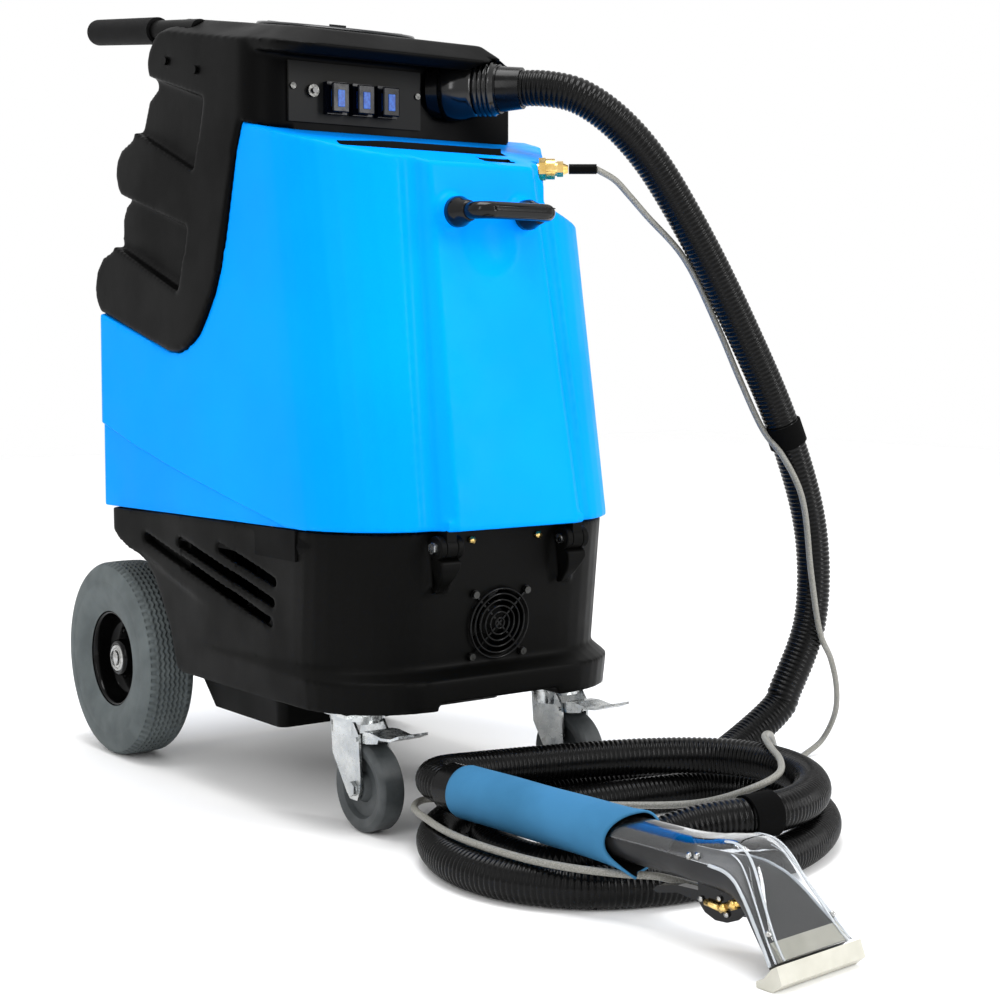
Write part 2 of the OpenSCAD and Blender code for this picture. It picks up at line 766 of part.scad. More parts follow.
module breaker_button() color("#151515") translate([-136, panel_y, 824]) rotate([90, 0, 0]) {
    translate([0, 0, -2.8]) cylinder(h = 10.8, d = 6);
}

// ---------------------------------------------------------------- handles

module lift_bend(side) {
    translate([side * (lift_half - 14), lift_y - 40, lift_z]) rotate([0, 0, side > 0 ? -90 : 180])
        rotate_extrude(angle = 90) translate([14, 0]) circle(d = lift_bar_d, $fn = 32);
}

module front_handle() color("#0c0c0c") {
    for (side = [-1, 1]) {
        translate([side * lift_half, lift_y + 22, lift_z]) rotate([90, 0, 0])
            cylinder(h = 62 + eps, d = lift_bar_d);
        lift_bend(side);
    }
    bar_x(-lift_half + 14 - eps, lift_half - 14 + eps, lift_bar_d, lift_y - 54, lift_z);
}

cross_at = 71;

module push_handle() color("#2a2a2a") {
    for (side = [-1, 1]) on_rail(side) translate([0, 0, -28]) cylinder(h = rail_len + 26, d = push_tube_d);
    bar_x(-rail_x, rail_x, 20, rail_y + cross_at * cos(rail_angle), rail_z + cross_at * sin(rail_angle));
}

module foam_grips() color("#161616") {
    for (side = [-1, 1]) on_rail(side) difference() {
        union() {
            translate([0, 0, 84]) cylinder(h = rail_len - 92, d = foam_d);
            translate([0, 0, rail_len - 8]) rotate_extrude()
                polygon(concat([[0, 0]], arc(foam_d / 2 - 9, 0, 9, 0, 90, 5), [[0, 9]]));
        }
        translate([0, 0, 60]) cylinder(h = rail_len - 62, d = push_tube_d);
    }
}

// ---------------------------------------------------------------- vacuum port and hoses

module hose_port() color("#101010") at_port() difference() {
    union() {
        rotate_extrude($fn = 64)
            polygon([[17, -14], [34, -14], [34, 4], [30, 22], [26, 40], [17, 40]]);
        translate([0, 0, -60]) cylinder(h = 48, d = 38);
    }
    translate([0, 0, -70]) cylinder(h = 140, d = 32);
}

module hose_cuff() color("#0d0d0d") at_port() difference() {
    union() {
        translate([0, 0, 40.6]) cylinder(h = 10, d = 58);
        translate([0, 0, 50.6]) cylinder(h = 12, d = 53);
        translate([0, 0, 62.6]) cylinder(h = 6, d = 57);
        translate([0, 0, 68.6]) cylinder(h = 27, d1 = 53, d2 = 48);
    }
    translate([0, 0, 40]) cylinder(h = 60, d = vac_d + 0.5);
}

// Route of the vacuum hose from the port's cuff, by hand, down to the floor
vac_drop = [[99, -215, 838], [110, -230, 838], [126, -252, 836], [150, -275, 828], [184, -295, 804],
            [226, -312, 760], [286, -326, 675], [360, -336, 556], [432, -341, 427], [476, -345, 300],
            [476, -345, 185], [438, -339, 98]];
vac_floor = [[437.8, -338.9, 97.5], [432.2, -338.1, 84.7], [372, -332, 44], [298, -345, 23],
             [222, -366, 21], [150, -360, 21],
             [80, -341, 21], [0, -331, 21], [-70, -346, 21], [-130, -390, 21], [-168, -450, 21],
             [-182, -515, 21], [-170, -580, 21], [-130, -636, 21], [-65, -670, 21], [10, -682, 21],
             [95, -675, 21], [175, -645, 21], [240, -595, 21], [278, -530, 21], [275, -465, 21],
             [240, -424, 22], [175, -408, 22], [95, -390, 21], [15, -380, 21], [-50, -397, 21],
             [-100, -440, 21], [-122, -500, 21], [-108, -565, 22], [-55, -614, 40], [10, -642, 60],
             [75, -664, 65], [140, -655, 65], [200, -618, 65], [240, -560, 65], [250, -495, 65],
             [225, -440, 65], [165, -396, 65], [95, -364, 64], [30, -345, 64], [-35, -338, 66],
             [-92, -348, 71], [-124, -376, 75], [-132, -405, 76], [-131, -432, 76]];

module vacuum_hose_drop() color("#151515") swept_tube(vac_drop, vac_d);
module vacuum_hose_coil() color("#151515") swept_tube(vac_floor, vac_d);

// Route of the solution hose, by hand
sol_drop = [[154, -306, 741], [182, -306, 730], [204, -305, 714], [234, -304, 690], [285, -312, 643],
            [338, -319, 556], [372, -321, 495], [404, -332, 430], [416, -353, 400], [440, -363, 350],
            [456, -366, 250], [468, -371, 176], [500, -360, 138], [524, -348, 96]];
sol_floor = [[524.8, -347.3, 94.6], [548, -322, 52], [544, -305, 18], [508, -310, 5], [455, -335, 4],
             [400, -375, 12], [345, -420, 44], [300, -455, 82], [255, -490, 93], [220, -535, 93],
             [185, -585, 92], [148, -620, 90], [112, -632, 86], [86, -604, 70], [72, -560, 56],
             [0, -470, 48], [-45, -430, 48], [-80, -385, 47], [-96, -358, 46.5],
             [-122, -350, 47], [-148, -372, 47], [-164, -420, 47], [-176, -475, 47],
             [-178, -535, 47], [-168, -598, 46], [-154.8, -639.5, 46], [-138.2, -671.3, 46],
             [-118.6, -691.8, 44.6], [-101.3, -706.5, 43.8], [-94.4, -725, 43.2], [-88.6, -754.7, 42.5],
             [-84.6, -779.4, 42], [-83.2, -797.4, 42]];

module solution_hose_drop() color("#8b8d86") swept_tube(sol_drop, sol_d, 8);
module solution_hose_floor() color("#8b8d86") swept_tube(sol_floor, sol_d, 8);

// Fabric strap round a hose at one point of its route
module strap(route, i, length, hole) {
    t = tangent(route, i);
    yaw = atan2(t[1], t[0]);
    tilt = acos(t[2]);
    translate(route[i]) rotate([0, tilt, yaw]) difference() {
        translate([0, 0, -length / 2]) cylinder(h = length, d = vac_d + 5);
        translate([0, 0, -length]) cylinder(h = 2 * length, d = vac_d + hole);
    }
}

module drop_strap() color("#101010") strap(vac_drop, 8, 28, 0.3);
module coil_strap() color("#101010") strap(vac_floor, 31, 34, 0.3);

// Hose connection at the front right: hex body, sliding collar and barb along one axis
connect_at = [97, -264, 741];

module at_connect() {
    translate(connect_at) rotate([0, 0, corner_angle]) rotate([0, 90, 0]) children();
}

module quick_connect() color("#c9a24a") at_connect() {
    translate([0, 0, -12]) cylinder(h = 17, d = 13);
    translate([0, 0, 4]) cylinder(h = 8, d = 26, $fn = 6);
    translate([0, 0, 11]) cylinder(h = 15, d = 16);
    translate([0, 0, 25.2]) cylinder(h = 7, d = 18, $fn = 6);
    translate([0, 0, 32]) cylinder(h = 6, d1 = 14, d2 = 9);
}

module connect_collar() color("#c9a24a") at_connect() translate([0, 0, 12.2]) difference() {
    cylinder(h = 10.4, d = 24);
    translate([0, 0, -1]) cylinder(h = 13, d = 16 + 2 * run_gap);
}

module hose_sleeve() color("#161616") at_connect() difference() {
    translate([0, 0, 34]) cylinder(h = 37, d = 11.5);
    translate([0, 0, 33]) cylinder(h = 6, d = 15);
}

// ---------------------------------------------------------------- wand

wand_at = [-131, -432, 76];
wand_yaw = 4.5;
grip_len = 262;
body_half = 22;
trigger_y = 356;
trigger_z = 45;

// The wand's own frame: y runs from the hose end to the mouth, z is up, the tube's axis is z = 76
module at_wand() {
    translate([wand_at[0], wand_at[1], 0]) rotate([0, 0, 180 + wand_yaw]) children();
}

module wand_hose_cuff() color("#111111") at_wand() translate([0, 0, wand_at[2]]) rotate([-90, 0, 0])
    difference() {
        translate([0, 0, -14]) cylinder(h = 22, d = 52);
        translate([0, 0, -15]) cylinder(h = 15, d = vac_d + 0.4);
        translate([0, 0, -15]) cylinder(h = 30, d = 34);
    }

module wand_tube() color("#26282b") at_wand() translate([0, 8.2, wand_at[2]]) rotate([-90, 0, 0])
    difference() {
        cylinder(h = 312, d = wand_d);
        translate([0, 0, -1]) cylinder(h = 314, d = wand_d - 6);
    }

module wand_grip() color("#4692cd") at_wand() translate([0, 9, wand_at[2]]) rotate([-90, 0, 0])
    difference() {
        cylinder(h = grip_len, d = grip_d);
        translate([0, 0, -1]) cylinder(h = grip_len + 2, d = wand_d + 0.2);
    }

// Side outline, given in the wand's own frame, widened toward the mouth
module flare(points, half_in, half_out, y0, y1) {
    intersection() {
        along_x(points, 80);
        linear_extrude(200) polygon([[-half_in, y0 - 60], [half_in, y0 - 60], [half_in, y0],
                                     [half_out, y1], [-half_out, y1], [-half_in, y0]]);
    }
}

module wand_body() color("#2d2d2d") at_wand() {
    flare([[321, 57], [380, 57], [398, 56], [425, 45], [456, 20], [463, 13.5], [469.5, 20], [456, 36],
           [424, 67], [404, 79], [388, 82], [321, 82]], body_half, lip_w / 2 - 8, 395, 466);
    // Bracket of the valve and the trigger
    difference() {
        for (side = [-1, 1])
            translate([side * 12, 0, 0])
                along_x([[348, 60], [402, 57], [410, 50], [407, 43], [386, 29], [370, 27], [356, 32], [348, 42]], 2);
        bar_x(-20, 20, 6 + 2 * run_gap, trigger_y, trigger_z);
        bar_x(-20, -5, 8, 381, 41);
    }
}

module wand_cover() color([0.75, 0.8, 0.85, 0.35]) at_wand() difference() {
    flare([[321, 82.3], [388, 82.3], [404, 79.3], [424, 67.4], [456, 36.4], [470, 20.4], [477.5, 25],
           [459, 46], [441, 72], [428, 94], [415, 107], [394, 109], [370, 103], [321, 98]],
          body_half + 3, lip_w / 2 - 4, 395, 466);
    flare([[300, 60], [388, 60], [424, 50], [482, 0], [484, 11], [456, 42.5], [437, 68.5], [425, 90],
           [412, 103], [394, 105], [370, 99.5], [300, 94]], body_half, lip_w / 2 - 8, 395, 466);
}

module wand_lip() color("#efeee6") at_wand() {
    difference() {
        along_x([[458, 0.4], [476, 0.4], [486, 9], [480, 24], [474.5, 20.5], [466, 10], [458, 6]],
                lip_w / 2);
        along_x([[462, -1], [471, -1], [478, 8], [474, 14]], lip_w / 2 - 6);
    }
}

module wand_valve() color("#c2a04a") at_wand() translate([0, 381, 41]) {
    rotate([0, 90, 0]) cylinder(h = 19, d = 15, center = true);
    translate([-20, 0, 0]) rotate([0, 90, 0]) cylinder(h = 14, d = 7);
    translate([-19, -10, 1]) rotate([-90, 0, 0]) cylinder(h = 14, d = 11, $fn = 6);
    rotate([-88, 0, 0]) cylinder(h = 17, d = 10, $fn = 6);
    rotate([-88, 0, 0]) cylinder(h = 27, d = 7);
}

// Lever under the tube; its pin turns in the bracket
module wand_trigger() color("#1a1a1a") at_wand() {
    along_x([[364, 40], [356, 49], [318, 47], [292, 41], [286, 36], [292, 34], [318, 40], [348, 37]], 5);
    bar_x(-14.5, 14.5, 6, trigger_y, trigger_z);
}

// ----------------------------------------------------------------

base_housing();
under_pan();
rear_axle();
axle_nuts();
fan_frame();
fan_rotor();
fan_guard();
fan_screws();
hinge_bolts();
caster_plates();
caster_fork_left();
caster_fork_right();
caster_wheel_left();
caster_wheel_right();
brake_pedal_left();
brake_pedal_right();
tyre_left();
tyre_right();
rim_left();
rim_right();
hub_bearings_left();
hub_bearings_right();
vacuum_motors();
pump();
heater();
solution_tank();
recovery_tank();
control_panel();
panel_screws();
switch_guards();
rocker_1();
rocker_2();
rocker_3();
breaker_collar();
breaker_button();
lid_gasket();
lid();
hose_port();
hose_cuff();
front_handle();
push_handle();
foam_grips();
handle_bolts();
quick_connect();
connect_collar();
hose_sleeve();
vacuum_hose_drop();
vacuum_hose_coil();
drop_strap();
coil_strap();
solution_hose_drop();
solution_hose_floor();
wand_hose_cuff();
wand_tube();
wand_grip();
wand_body();
wand_cover();
wand_lip();
wand_valve();
wand_trigger();
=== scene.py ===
"""Looks of the portable carpet extractor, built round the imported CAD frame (metres, +Z up, front toward -Y)."""
import math
from math import cos, pi, radians, sin

import bpy
import bmesh
import numpy as np
from mathutils import Matrix, Vector


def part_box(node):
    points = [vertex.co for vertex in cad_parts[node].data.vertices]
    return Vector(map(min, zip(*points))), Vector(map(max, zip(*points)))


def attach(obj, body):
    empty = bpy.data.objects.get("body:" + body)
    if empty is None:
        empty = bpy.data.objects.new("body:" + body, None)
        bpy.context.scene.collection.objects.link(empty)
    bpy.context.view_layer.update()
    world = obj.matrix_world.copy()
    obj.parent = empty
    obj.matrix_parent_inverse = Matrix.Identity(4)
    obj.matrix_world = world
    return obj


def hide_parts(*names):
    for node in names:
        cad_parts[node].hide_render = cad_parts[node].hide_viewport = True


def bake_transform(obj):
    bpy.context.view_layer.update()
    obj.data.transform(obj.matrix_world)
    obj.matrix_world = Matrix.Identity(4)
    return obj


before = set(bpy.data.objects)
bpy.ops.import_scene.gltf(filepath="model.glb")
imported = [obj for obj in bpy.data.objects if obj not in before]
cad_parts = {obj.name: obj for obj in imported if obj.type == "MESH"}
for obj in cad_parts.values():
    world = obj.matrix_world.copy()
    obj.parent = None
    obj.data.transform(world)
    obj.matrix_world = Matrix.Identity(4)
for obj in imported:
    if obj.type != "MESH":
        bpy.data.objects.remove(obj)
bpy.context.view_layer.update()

MM = 0.001

# Places that the looks share with the CAD (metres and degrees)
PIVOT = Vector((0.087, -0.346, 0.320))
PORT_BASE = Vector((0.050, -0.150, 0.838))
PORT_TURN = -53
LID_BASE = Vector((0, 0.016, 0.9214))
TOP_TILT = 9.2
WAND_ORIGIN = Vector((-0.131, -0.432, 0))
WAND_TURN = 184.5
WAND_AXIS_Z = 76
LIFT_PLACE = Vector((0.048, -0.3175, 0.684))
SLOT_LEFT, SLOT_RIGHT = -0.150, 0.072
SLOT_FRONT, SLOT_REAR = -0.243, -0.231


# ---------------------------------------------------------------- camera

def make_camera():
    data = bpy.data.cameras.new("camera")
    data.sensor_width = 36
    data.lens = 67.11
    data.clip_end = 50
    camera = bpy.data.objects.new("camera", data)
    bpy.context.scene.collection.objects.link(camera)
    azimuth, pitch = radians(36.57), radians(5.07)
    ahead = Vector((sin(azimuth) * cos(pitch), cos(azimuth) * cos(pitch), -sin(pitch)))
    camera.location = (-1.238, -1.995, 0.550)
    camera.rotation_euler = ahead.to_track_quat("-Z", "Y").to_euler()
    bpy.context.scene.camera = camera
    return camera


# ---------------------------------------------------------------- meshes

def new_object(name, verts, faces, smooth=True):
    mesh = bpy.data.meshes.new(name)
    mesh.from_pydata([tuple(map(float, v)) for v in verts], [], [tuple(int(i) for i in f) for f in faces])
    mesh.validate()
    mesh.update()
    obj = bpy.data.objects.new(name, mesh)
    bpy.context.scene.collection.objects.link(obj)
    if len(verts) < 100000:
        outward(obj)
    if smooth:
        mesh.polygons.foreach_set("use_smooth", [True] * len(mesh.polygons))
    return obj


def outward(obj):
    """Turns every face of a mesh to point outward."""
    b = bmesh.new()
    b.from_mesh(obj.data)
    bmesh.ops.recalc_face_normals(b, faces=b.faces)
    b.to_mesh(obj.data)
    b.free()


def grid_faces(rings, around, cap=True, closed=True):
    """Faces of rings of vertices laid one after another."""
    faces = []
    last = around if closed else around - 1
    for k in range(rings - 1):
        a, b = k * around, (k + 1) * around
        for i in range(last):
            j = (i + 1) % around
            faces.append((a + i, a + j, b + j, b + i))
    if cap and closed:
        faces.append(tuple(range(around - 1, -1, -1)))
        faces.append(tuple((rings - 1) * around + i for i in range(around)))
    return faces


def lathe(name, profile, place, around=64):
    """Solid of revolution about the place's local Z; profile is a list of (radius, z)."""
    verts = []
    for r, z in profile:
        for i in range(around):
            a = 2 * pi * i / around
            verts.append(place @ Vector((r * cos(a), r * sin(a), z)))
    return new_object(name, verts, grid_faces(len(profile), around))


def along_x(name, outline, x0, x1):
    """Prism of a side outline of (y, z) points between two x positions."""
    n = len(outline)
    verts = [(x, y, z) for x in (x0, x1) for y, z in outline]
    return new_object(name, verts, grid_faces(2, n), smooth=False)


def box_piece(name, low, high):
    (x0, y0, z0), (x1, y1, z1) = low, high
    return along_x(name, [(y0, z0), (y1, z0), (y1, z1), (y0, z1)], x0, x1)


def rod(name, a, b, radius, around=24, end_radius=None):
    a, b = Vector(a), Vector(b)
    place = Matrix.Translation(a) @ (b - a).to_track_quat("Z", "Y").to_matrix().to_4x4()
    return lathe(name, [(radius, 0), (end_radius or radius, (b - a).length)], place, around)


def applied(obj):
    """obj with its modifiers made permanent."""
    graph = bpy.context.evaluated_depsgraph_get()
    mesh = bpy.data.meshes.new_from_object(obj.evaluated_get(graph))
    obj.modifiers.clear()
    obj.data = mesh
    return obj


def joined(name, objs):
    """One object of several; the first keeps its materials' slots."""
    bpy.ops.object.select_all(action="DESELECT")
    for o in objs:
        o.select_set(True)
    bpy.context.view_layer.objects.active = objs[0]
    if len(objs) > 1:
        bpy.ops.object.join()
    objs[0].name = name
    objs[0].data.name = name
    return objs[0]


def cad_copy(node, name):
    """Free copy of a CAD node's mesh."""
    obj = bpy.data.objects.new(name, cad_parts[node].data.copy())
    bpy.context.scene.collection.objects.link(obj)
    obj.data.materials.clear()
    return obj


def cut(obj, cutters):
    for c in cutters:
        m = obj.modifiers.new("cut", "BOOLEAN")
        m.operation = "DIFFERENCE"
        m.solver = "EXACT"
        m.object = c
    applied(obj)
    for c in cutters:
        bpy.data.objects.remove(c)
    return obj


def moulded(name, node, body, slot, adders=(), cutters=(), late=(), voxel=3 * MM, rounds=8, keep=0.35):
    """A rotationally moulded shell: the CAD solid with more detail and soft edges everywhere.

    The cutters are rounded with the shell; the late ones leave crisp edges."""
    obj = cad_copy(node, name)
    if cutters:
        cut(obj, cutters)
    obj = joined(name, [obj, *adders])
    m = obj.modifiers.new("remesh", "REMESH")
    m.mode = "VOXEL"
    m.voxel_size = voxel
    m = obj.modifiers.new("smooth", "SMOOTH")
    m.factor = 0.5
    m.iterations = rounds
    if keep < 1:
        m = obj.modifiers.new("light", "DECIMATE")
        m.ratio = keep
    applied(obj)
    if late:
        cut(obj, [joined("late", list(late))])
    obj.data.polygons.foreach_set("use_smooth", [True] * len(obj.data.polygons))
    obj.data.set_sharp_from_angle(angle=radians(42))
    return shown(obj, body, slot, node)


def shown(obj, body, slot, *nodes):
    """obj rides on a body and stands for CAD nodes, which it hides. The slot is not used."""
    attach(obj, body)
    if nodes:
        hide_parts(*nodes)
    return obj


# ---------------------------------------------------------------- materials

class Shader:
    """A principled material with procedural colour, roughness and bump."""

    def __init__(self, name, color, rough, metal=0.0):
        self.mat = bpy.data.materials.new(name)
        self.mat.use_nodes = True
        self.nodes = self.mat.node_tree.nodes
        self.links = self.mat.node_tree.links
        self.bsdf = self.nodes["Principled BSDF"]
        self.set("Base Color", (*color, 1))
        self.set("Roughness", rough)
        self.set("Metallic", metal)
        self.coords = self.nodes.new("ShaderNodeTexCoord").outputs["Object"]
        self.normal = None

    def set(self, socket, value):
        self.bsdf.inputs[socket].default_value = value
        return self

    def noise(self, scale, detail=3.0, stretch=None):
        n = self.nodes.new("ShaderNodeTexNoise")
        n.inputs["Scale"].default_value = scale
        n.inputs["Detail"].default_value = detail
        source = self.coords
        if stretch:
            m = self.nodes.new("ShaderNodeMapping")
            m.inputs["Scale"].default_value = stretch
            self.links.new(source, m.inputs["Vector"])
            source = m.outputs["Vector"]
        self.links.new(source, n.inputs["Vector"])
        return n.outputs["Fac"]

    def ramp(self, factor, low, high, at=(0.35, 0.65)):
        r = self.nodes.new("ShaderNodeMapRange")
        r.inputs["From Min"].default_value, r.inputs["From Max"].default_value = at
        r.inputs["To Min"].default_value, r.inputs["To Max"].default_value = low, high
        self.links.new(factor, r.inputs["Value"])
        return r.outputs["Result"]

    def vary_rough(self, factor, low, high):
        self.links.new(self.ramp(factor, low, high), self.bsdf.inputs["Roughness"])
        return self

    def vary_color(self, factor, a, b, at=(0.35, 0.65)):
        mix = self.nodes.new("ShaderNodeMix")
        mix.data_type = "RGBA"
        mix.inputs["A"].default_value = (*a, 1)
        mix.inputs["B"].default_value = (*b, 1)
        self.links.new(self.ramp(factor, 0, 1, at), mix.inputs["Factor"])
        self.links.new(mix.outputs["Result"], self.bsdf.inputs["Base Color"])
        return self

    def bump(self, factor, strength, distance):
        b = self.nodes.new("ShaderNodeBump")
        b.inputs["Strength"].default_value = strength
        b.inputs["Distance"].default_value = distance
        self.links.new(factor, b.inputs["Height"])
        if self.normal:
            self.links.new(self.normal, b.inputs["Normal"])
        self.normal = b.outputs["Normal"]
        self.links.new(self.normal, self.bsdf.inputs["Normal"])
        return self


def put(material, *objs):
    for o in objs:
        o.data.materials.clear()
        o.data.materials.append(material.mat if isinstance(material, Shader) else material)
        for p in o.data.polygons:
            p.material_index = 0


def plastic_black(name, color=(0.0020, 0.0020, 0.0019), rough=(0.38, 0.56), grain=0.35):
    s = Shader(name, color, 0.45)
    s.set("Specular IOR Level", 0.06)
    s.vary_rough(s.noise(9), *rough)
    s.bump(s.noise(900, 2), grain, 0.0004)
    s.bump(s.noise(14, 4), 0.25, 0.0025)
    return s


def make_materials():
    m = {}
    s = Shader("blue_shell", (0.0, 0.30, 1.0), 0.36)
    s.vary_color(s.noise(3.5, 4), (0.0, 0.265, 0.95), (0.0, 0.300, 1.0))
    s.vary_rough(s.noise(22, 4), 0.28, 0.44)
    s.bump(s.noise(700, 2), 0.12, 0.0003)
    s.bump(s.noise(9, 3), 0.2, 0.004)
    s.set("Specular IOR Level", 0.02)
    m["blue"] = s
    m["base"] = plastic_black("base_shell", (0.0012, 0.0012, 0.0010))
    m["tank"] = plastic_black("tank_shell", (0.0009, 0.0009, 0.0009), (0.34, 0.5), 0.25)
    m["tank"].set("Specular IOR Level", 0.045)
    s = Shader("tyre_grey", (0.10, 0.12, 0.125), 0.75)
    s.set("Specular IOR Level", 0.25)
    s.vary_color(s.noise(30, 5), (0.072, 0.084, 0.086), (0.100, 0.116, 0.118))
    s.bump(s.noise(500, 3), 0.4, 0.0006)
    m["tyre"] = s
    s = Shader("rim_gloss", (0.0015, 0.0015, 0.0015), 0.14)
    s.set("Specular IOR Level", 0.14)
    s.bump(s.noise(60, 2), 0.04, 0.001)
    m["rim"] = s
    s = Shader("zinc", (0.48, 0.50, 0.51), 0.22, 1.0)
    s.vary_color(s.noise(40, 4), (0.38, 0.40, 0.41), (0.56, 0.57, 0.56))
    s.vary_rough(s.noise(120, 4), 0.16, 0.36)
    s.bump(s.noise(260, 2), 0.08, 0.0004)
    m["zinc"] = s
    s = Shader("bright_steel", (0.40, 0.40, 0.39), 0.2, 1.0)
    s.vary_rough(s.noise(200, 2), 0.14, 0.3)
    m["steel"] = s
    s = Shader("brass_turned", (0.78, 0.53, 0.17), 0.2, 1.0)
    s.vary_color(s.noise(90, 3), (0.70, 0.46, 0.13), (0.86, 0.62, 0.24))
    s.vary_rough(s.noise(300, 2, (1, 1, 12)), 0.12, 0.32)
    m["brass"] = s
    s = Shader("caster_rubber", (0.045, 0.05, 0.052), 0.5)
    s.set("Specular IOR Level", 0.3)
    s.vary_color(s.noise(50, 4), (0.036, 0.041, 0.043), (0.06, 0.066, 0.068))
    s.bump(s.noise(400, 3), 0.3, 0.0004)
    m["caster"] = s
    s = Shader("hose_black", (0.002, 0.002, 0.002), 0.3)
    s.vary_rough(s.noise(60, 3), 0.2, 0.32)
    s.set("Specular IOR Level", 0.13)
    m["hose"] = s
    s = Shader("cuff_black", (0.002, 0.002, 0.002), 0.22)
    s.vary_rough(s.noise(30, 3), 0.16, 0.3)
    s.set("Specular IOR Level", 0.15)
    m["cuff"] = s
    s = Shader("handle_black", (0.003, 0.003, 0.003), 0.14)
    s.bump(s.noise(30, 3), 0.06, 0.002)
    s.set("Specular IOR Level", 0.22)
    m["handle"] = s
    s = Shader("foam_black", (0.0045, 0.0045, 0.0048), 0.7)
    s.set("Specular IOR Level", 0.1)
    s.bump(s.noise(700, 3), 0.6, 0.0008)
    s.vary_color(s.noise(60, 3), (0.0022, 0.0022, 0.0024), (0.0040, 0.0040, 0.0042))
    m["foam"] = s
    s = Shader("strap_cloth", (0.0015, 0.0015, 0.0015), 0.85)
    s.set("Specular IOR Level", 0.05)
    s.bump(s.noise(1500, 2, (1, 1, 3)), 0.6, 0.0005)
    m["strap"] = s
    s = Shader("hose_braid", (0.20, 0.195, 0.17), 0.45)
    s.set("Specular IOR Level", 0.4)
    s.vary_color(s.noise(900, 2), (0.12, 0.117, 0.10), (0.27, 0.265, 0.24))
    s.bump(s.noise(1200, 2), 0.5, 0.0004)
    m["braid"] = s
    s = Shader("panel_grey", (0.0100, 0.0098, 0.0088), 0.5)
    s.set("Specular IOR Level", 0.10)
    s.bump(s.noise(1200, 2), 0.25, 0.0002)
    m["panel"] = s
    s = Shader("guard_gloss", (0.0015, 0.002, 0.004), 0.16)
    s.set("Specular IOR Level", 0.10)
    s.vary_rough(s.noise(120, 2), 0.12, 0.24)
    m["guard"] = s
    s = Shader("rocker_blue", (0.008, 0.07, 0.33), 0.25)
    s.set("Specular IOR Level", 0.15)
    s.vary_color(s.noise(400, 2), (0.006, 0.05, 0.26), (0.012, 0.11, 0.42))
    m["rocker"] = s
    s = Shader("lid_dark", (0.010, 0.011, 0.012), 0.22)
    s.set("Specular IOR Level", 0.22)
    s.bump(s.noise(12, 2), 0.05, 0.003)
    m["lid"] = s
    s = Shader("wrap_cloth", (0.030, 0.15, 0.29), 0.8)
    s.set("Specular IOR Level", 0.2)
    s.vary_color(s.noise(14, 5), (0.027, 0.135, 0.26), (0.036, 0.165, 0.32))
    s.bump(s.noise(1400, 2), 0.45, 0.0005)
    s.bump(s.noise(18, 3), 0.3, 0.004)
    m["wrap"] = s
    m["lining"] = plastic_black("wrap_lining", (0.003, 0.003, 0.003), (0.7, 0.9), 0.4)
    s = Shader("wand_grey", (0.014, 0.014, 0.0145), 0.4)
    s.set("Specular IOR Level", 0.2)
    s.vary_rough(s.noise(30, 3), 0.32, 0.5)
    s.bump(s.noise(800, 2), 0.05, 0.0003)
    m["wand"] = s
    s = Shader("wand_clear", (0.93, 0.95, 0.97), 0.02)
    s.set("Transmission Weight", 1.0).set("IOR", 1.45)
    m["clear"] = s
    s = Shader("lip_white", (0.46, 0.44, 0.38), 0.4)
    s.set("Specular IOR Level", 0.3)
    s.vary_color(s.noise(40, 4), (0.43, 0.42, 0.36), (0.49, 0.48, 0.42))
    m["lip"] = s
    # pale, half-clear bead: partly the clear cover's real edges, partly a painted highlight of their bright lines
    s = Shader("clear_edge_painted_highlight", (0.80, 0.84, 0.88), 0.05)
    s.set("Transmission Weight", 0.55).set("IOR", 1.45)
    s.vary_rough(s.noise(80, 2), 0.03, 0.12)
    m["bead"] = s
    s = Shader("screw_steel", (0.05, 0.05, 0.048), 0.36, 1.0)
    s.vary_rough(s.noise(300, 2), 0.25, 0.45)
    m["screw"] = s
    s = Shader("fitting_gloss", (0.0025, 0.0025, 0.0025), 0.18)
    s.set("Specular IOR Level", 0.4)
    s.vary_rough(s.noise(60, 3), 0.12, 0.26)
    m["fitting"] = s
    # dark plastic of the inner parts, and painted shade on the slot and notch walls, the slot's rear wall and the
    # seam walls
    m["dark"] = plastic_black("inside_dark_and_painted_shade", (0.003, 0.003, 0.003), (0.6, 0.8), 0.1)
    return m


# ---------------------------------------------------------------- hoses

VAC_D = 0.042
SOL_D = 0.0076
vac_drop = [[99, -215, 838], [110, -230, 838], [126, -252, 836], [150, -275, 828], [184, -295, 804],
            [226, -312, 760], [286, -326, 675], [360, -336, 556], [432, -341, 427], [476, -345, 300],
            [476, -345, 185], [438, -339, 98]]
vac_floor = [[437.8, -338.9, 97.5], [432.2, -338.1, 84.7], [372, -332, 44], [298, -345, 23],
             [222, -366, 21], [150, -360, 21],
             [80, -341, 21], [0, -331, 21], [-70, -346, 21], [-130, -390, 21], [-168, -450, 21],
             [-182, -515, 21], [-170, -580, 21], [-130, -636, 21], [-65, -670, 21], [10, -682, 21],
             [95, -675, 21], [175, -645, 21], [240, -595, 21], [278, -530, 21], [275, -465, 21],
             [240, -424, 22], [175, -408, 22], [95, -390, 21], [15, -380, 21], [-50, -397, 21],
             [-100, -440, 21], [-122, -500, 21], [-108, -565, 22], [-55, -614, 40], [10, -642, 60],
             [75, -664, 65], [140, -655, 65], [200, -618, 65], [240, -560, 65], [250, -495, 65],
             [225, -440, 65], [165, -396, 65], [95, -364, 64], [30, -345, 64], [-35, -338, 66],
             [-92, -348, 71], [-124, -376, 75], [-132, -405, 76], [-131, -432, 76]]
sol_drop = [[154, -306, 741], [182, -306, 730], [204, -305, 714], [234, -304, 690], [285, -312, 643],
            [338, -319, 556], [372, -321, 495], [404, -332, 430], [416, -353, 400], [440, -363, 350],
            [456, -366, 250], [468, -371, 176], [500, -360, 138], [524, -348, 96]]
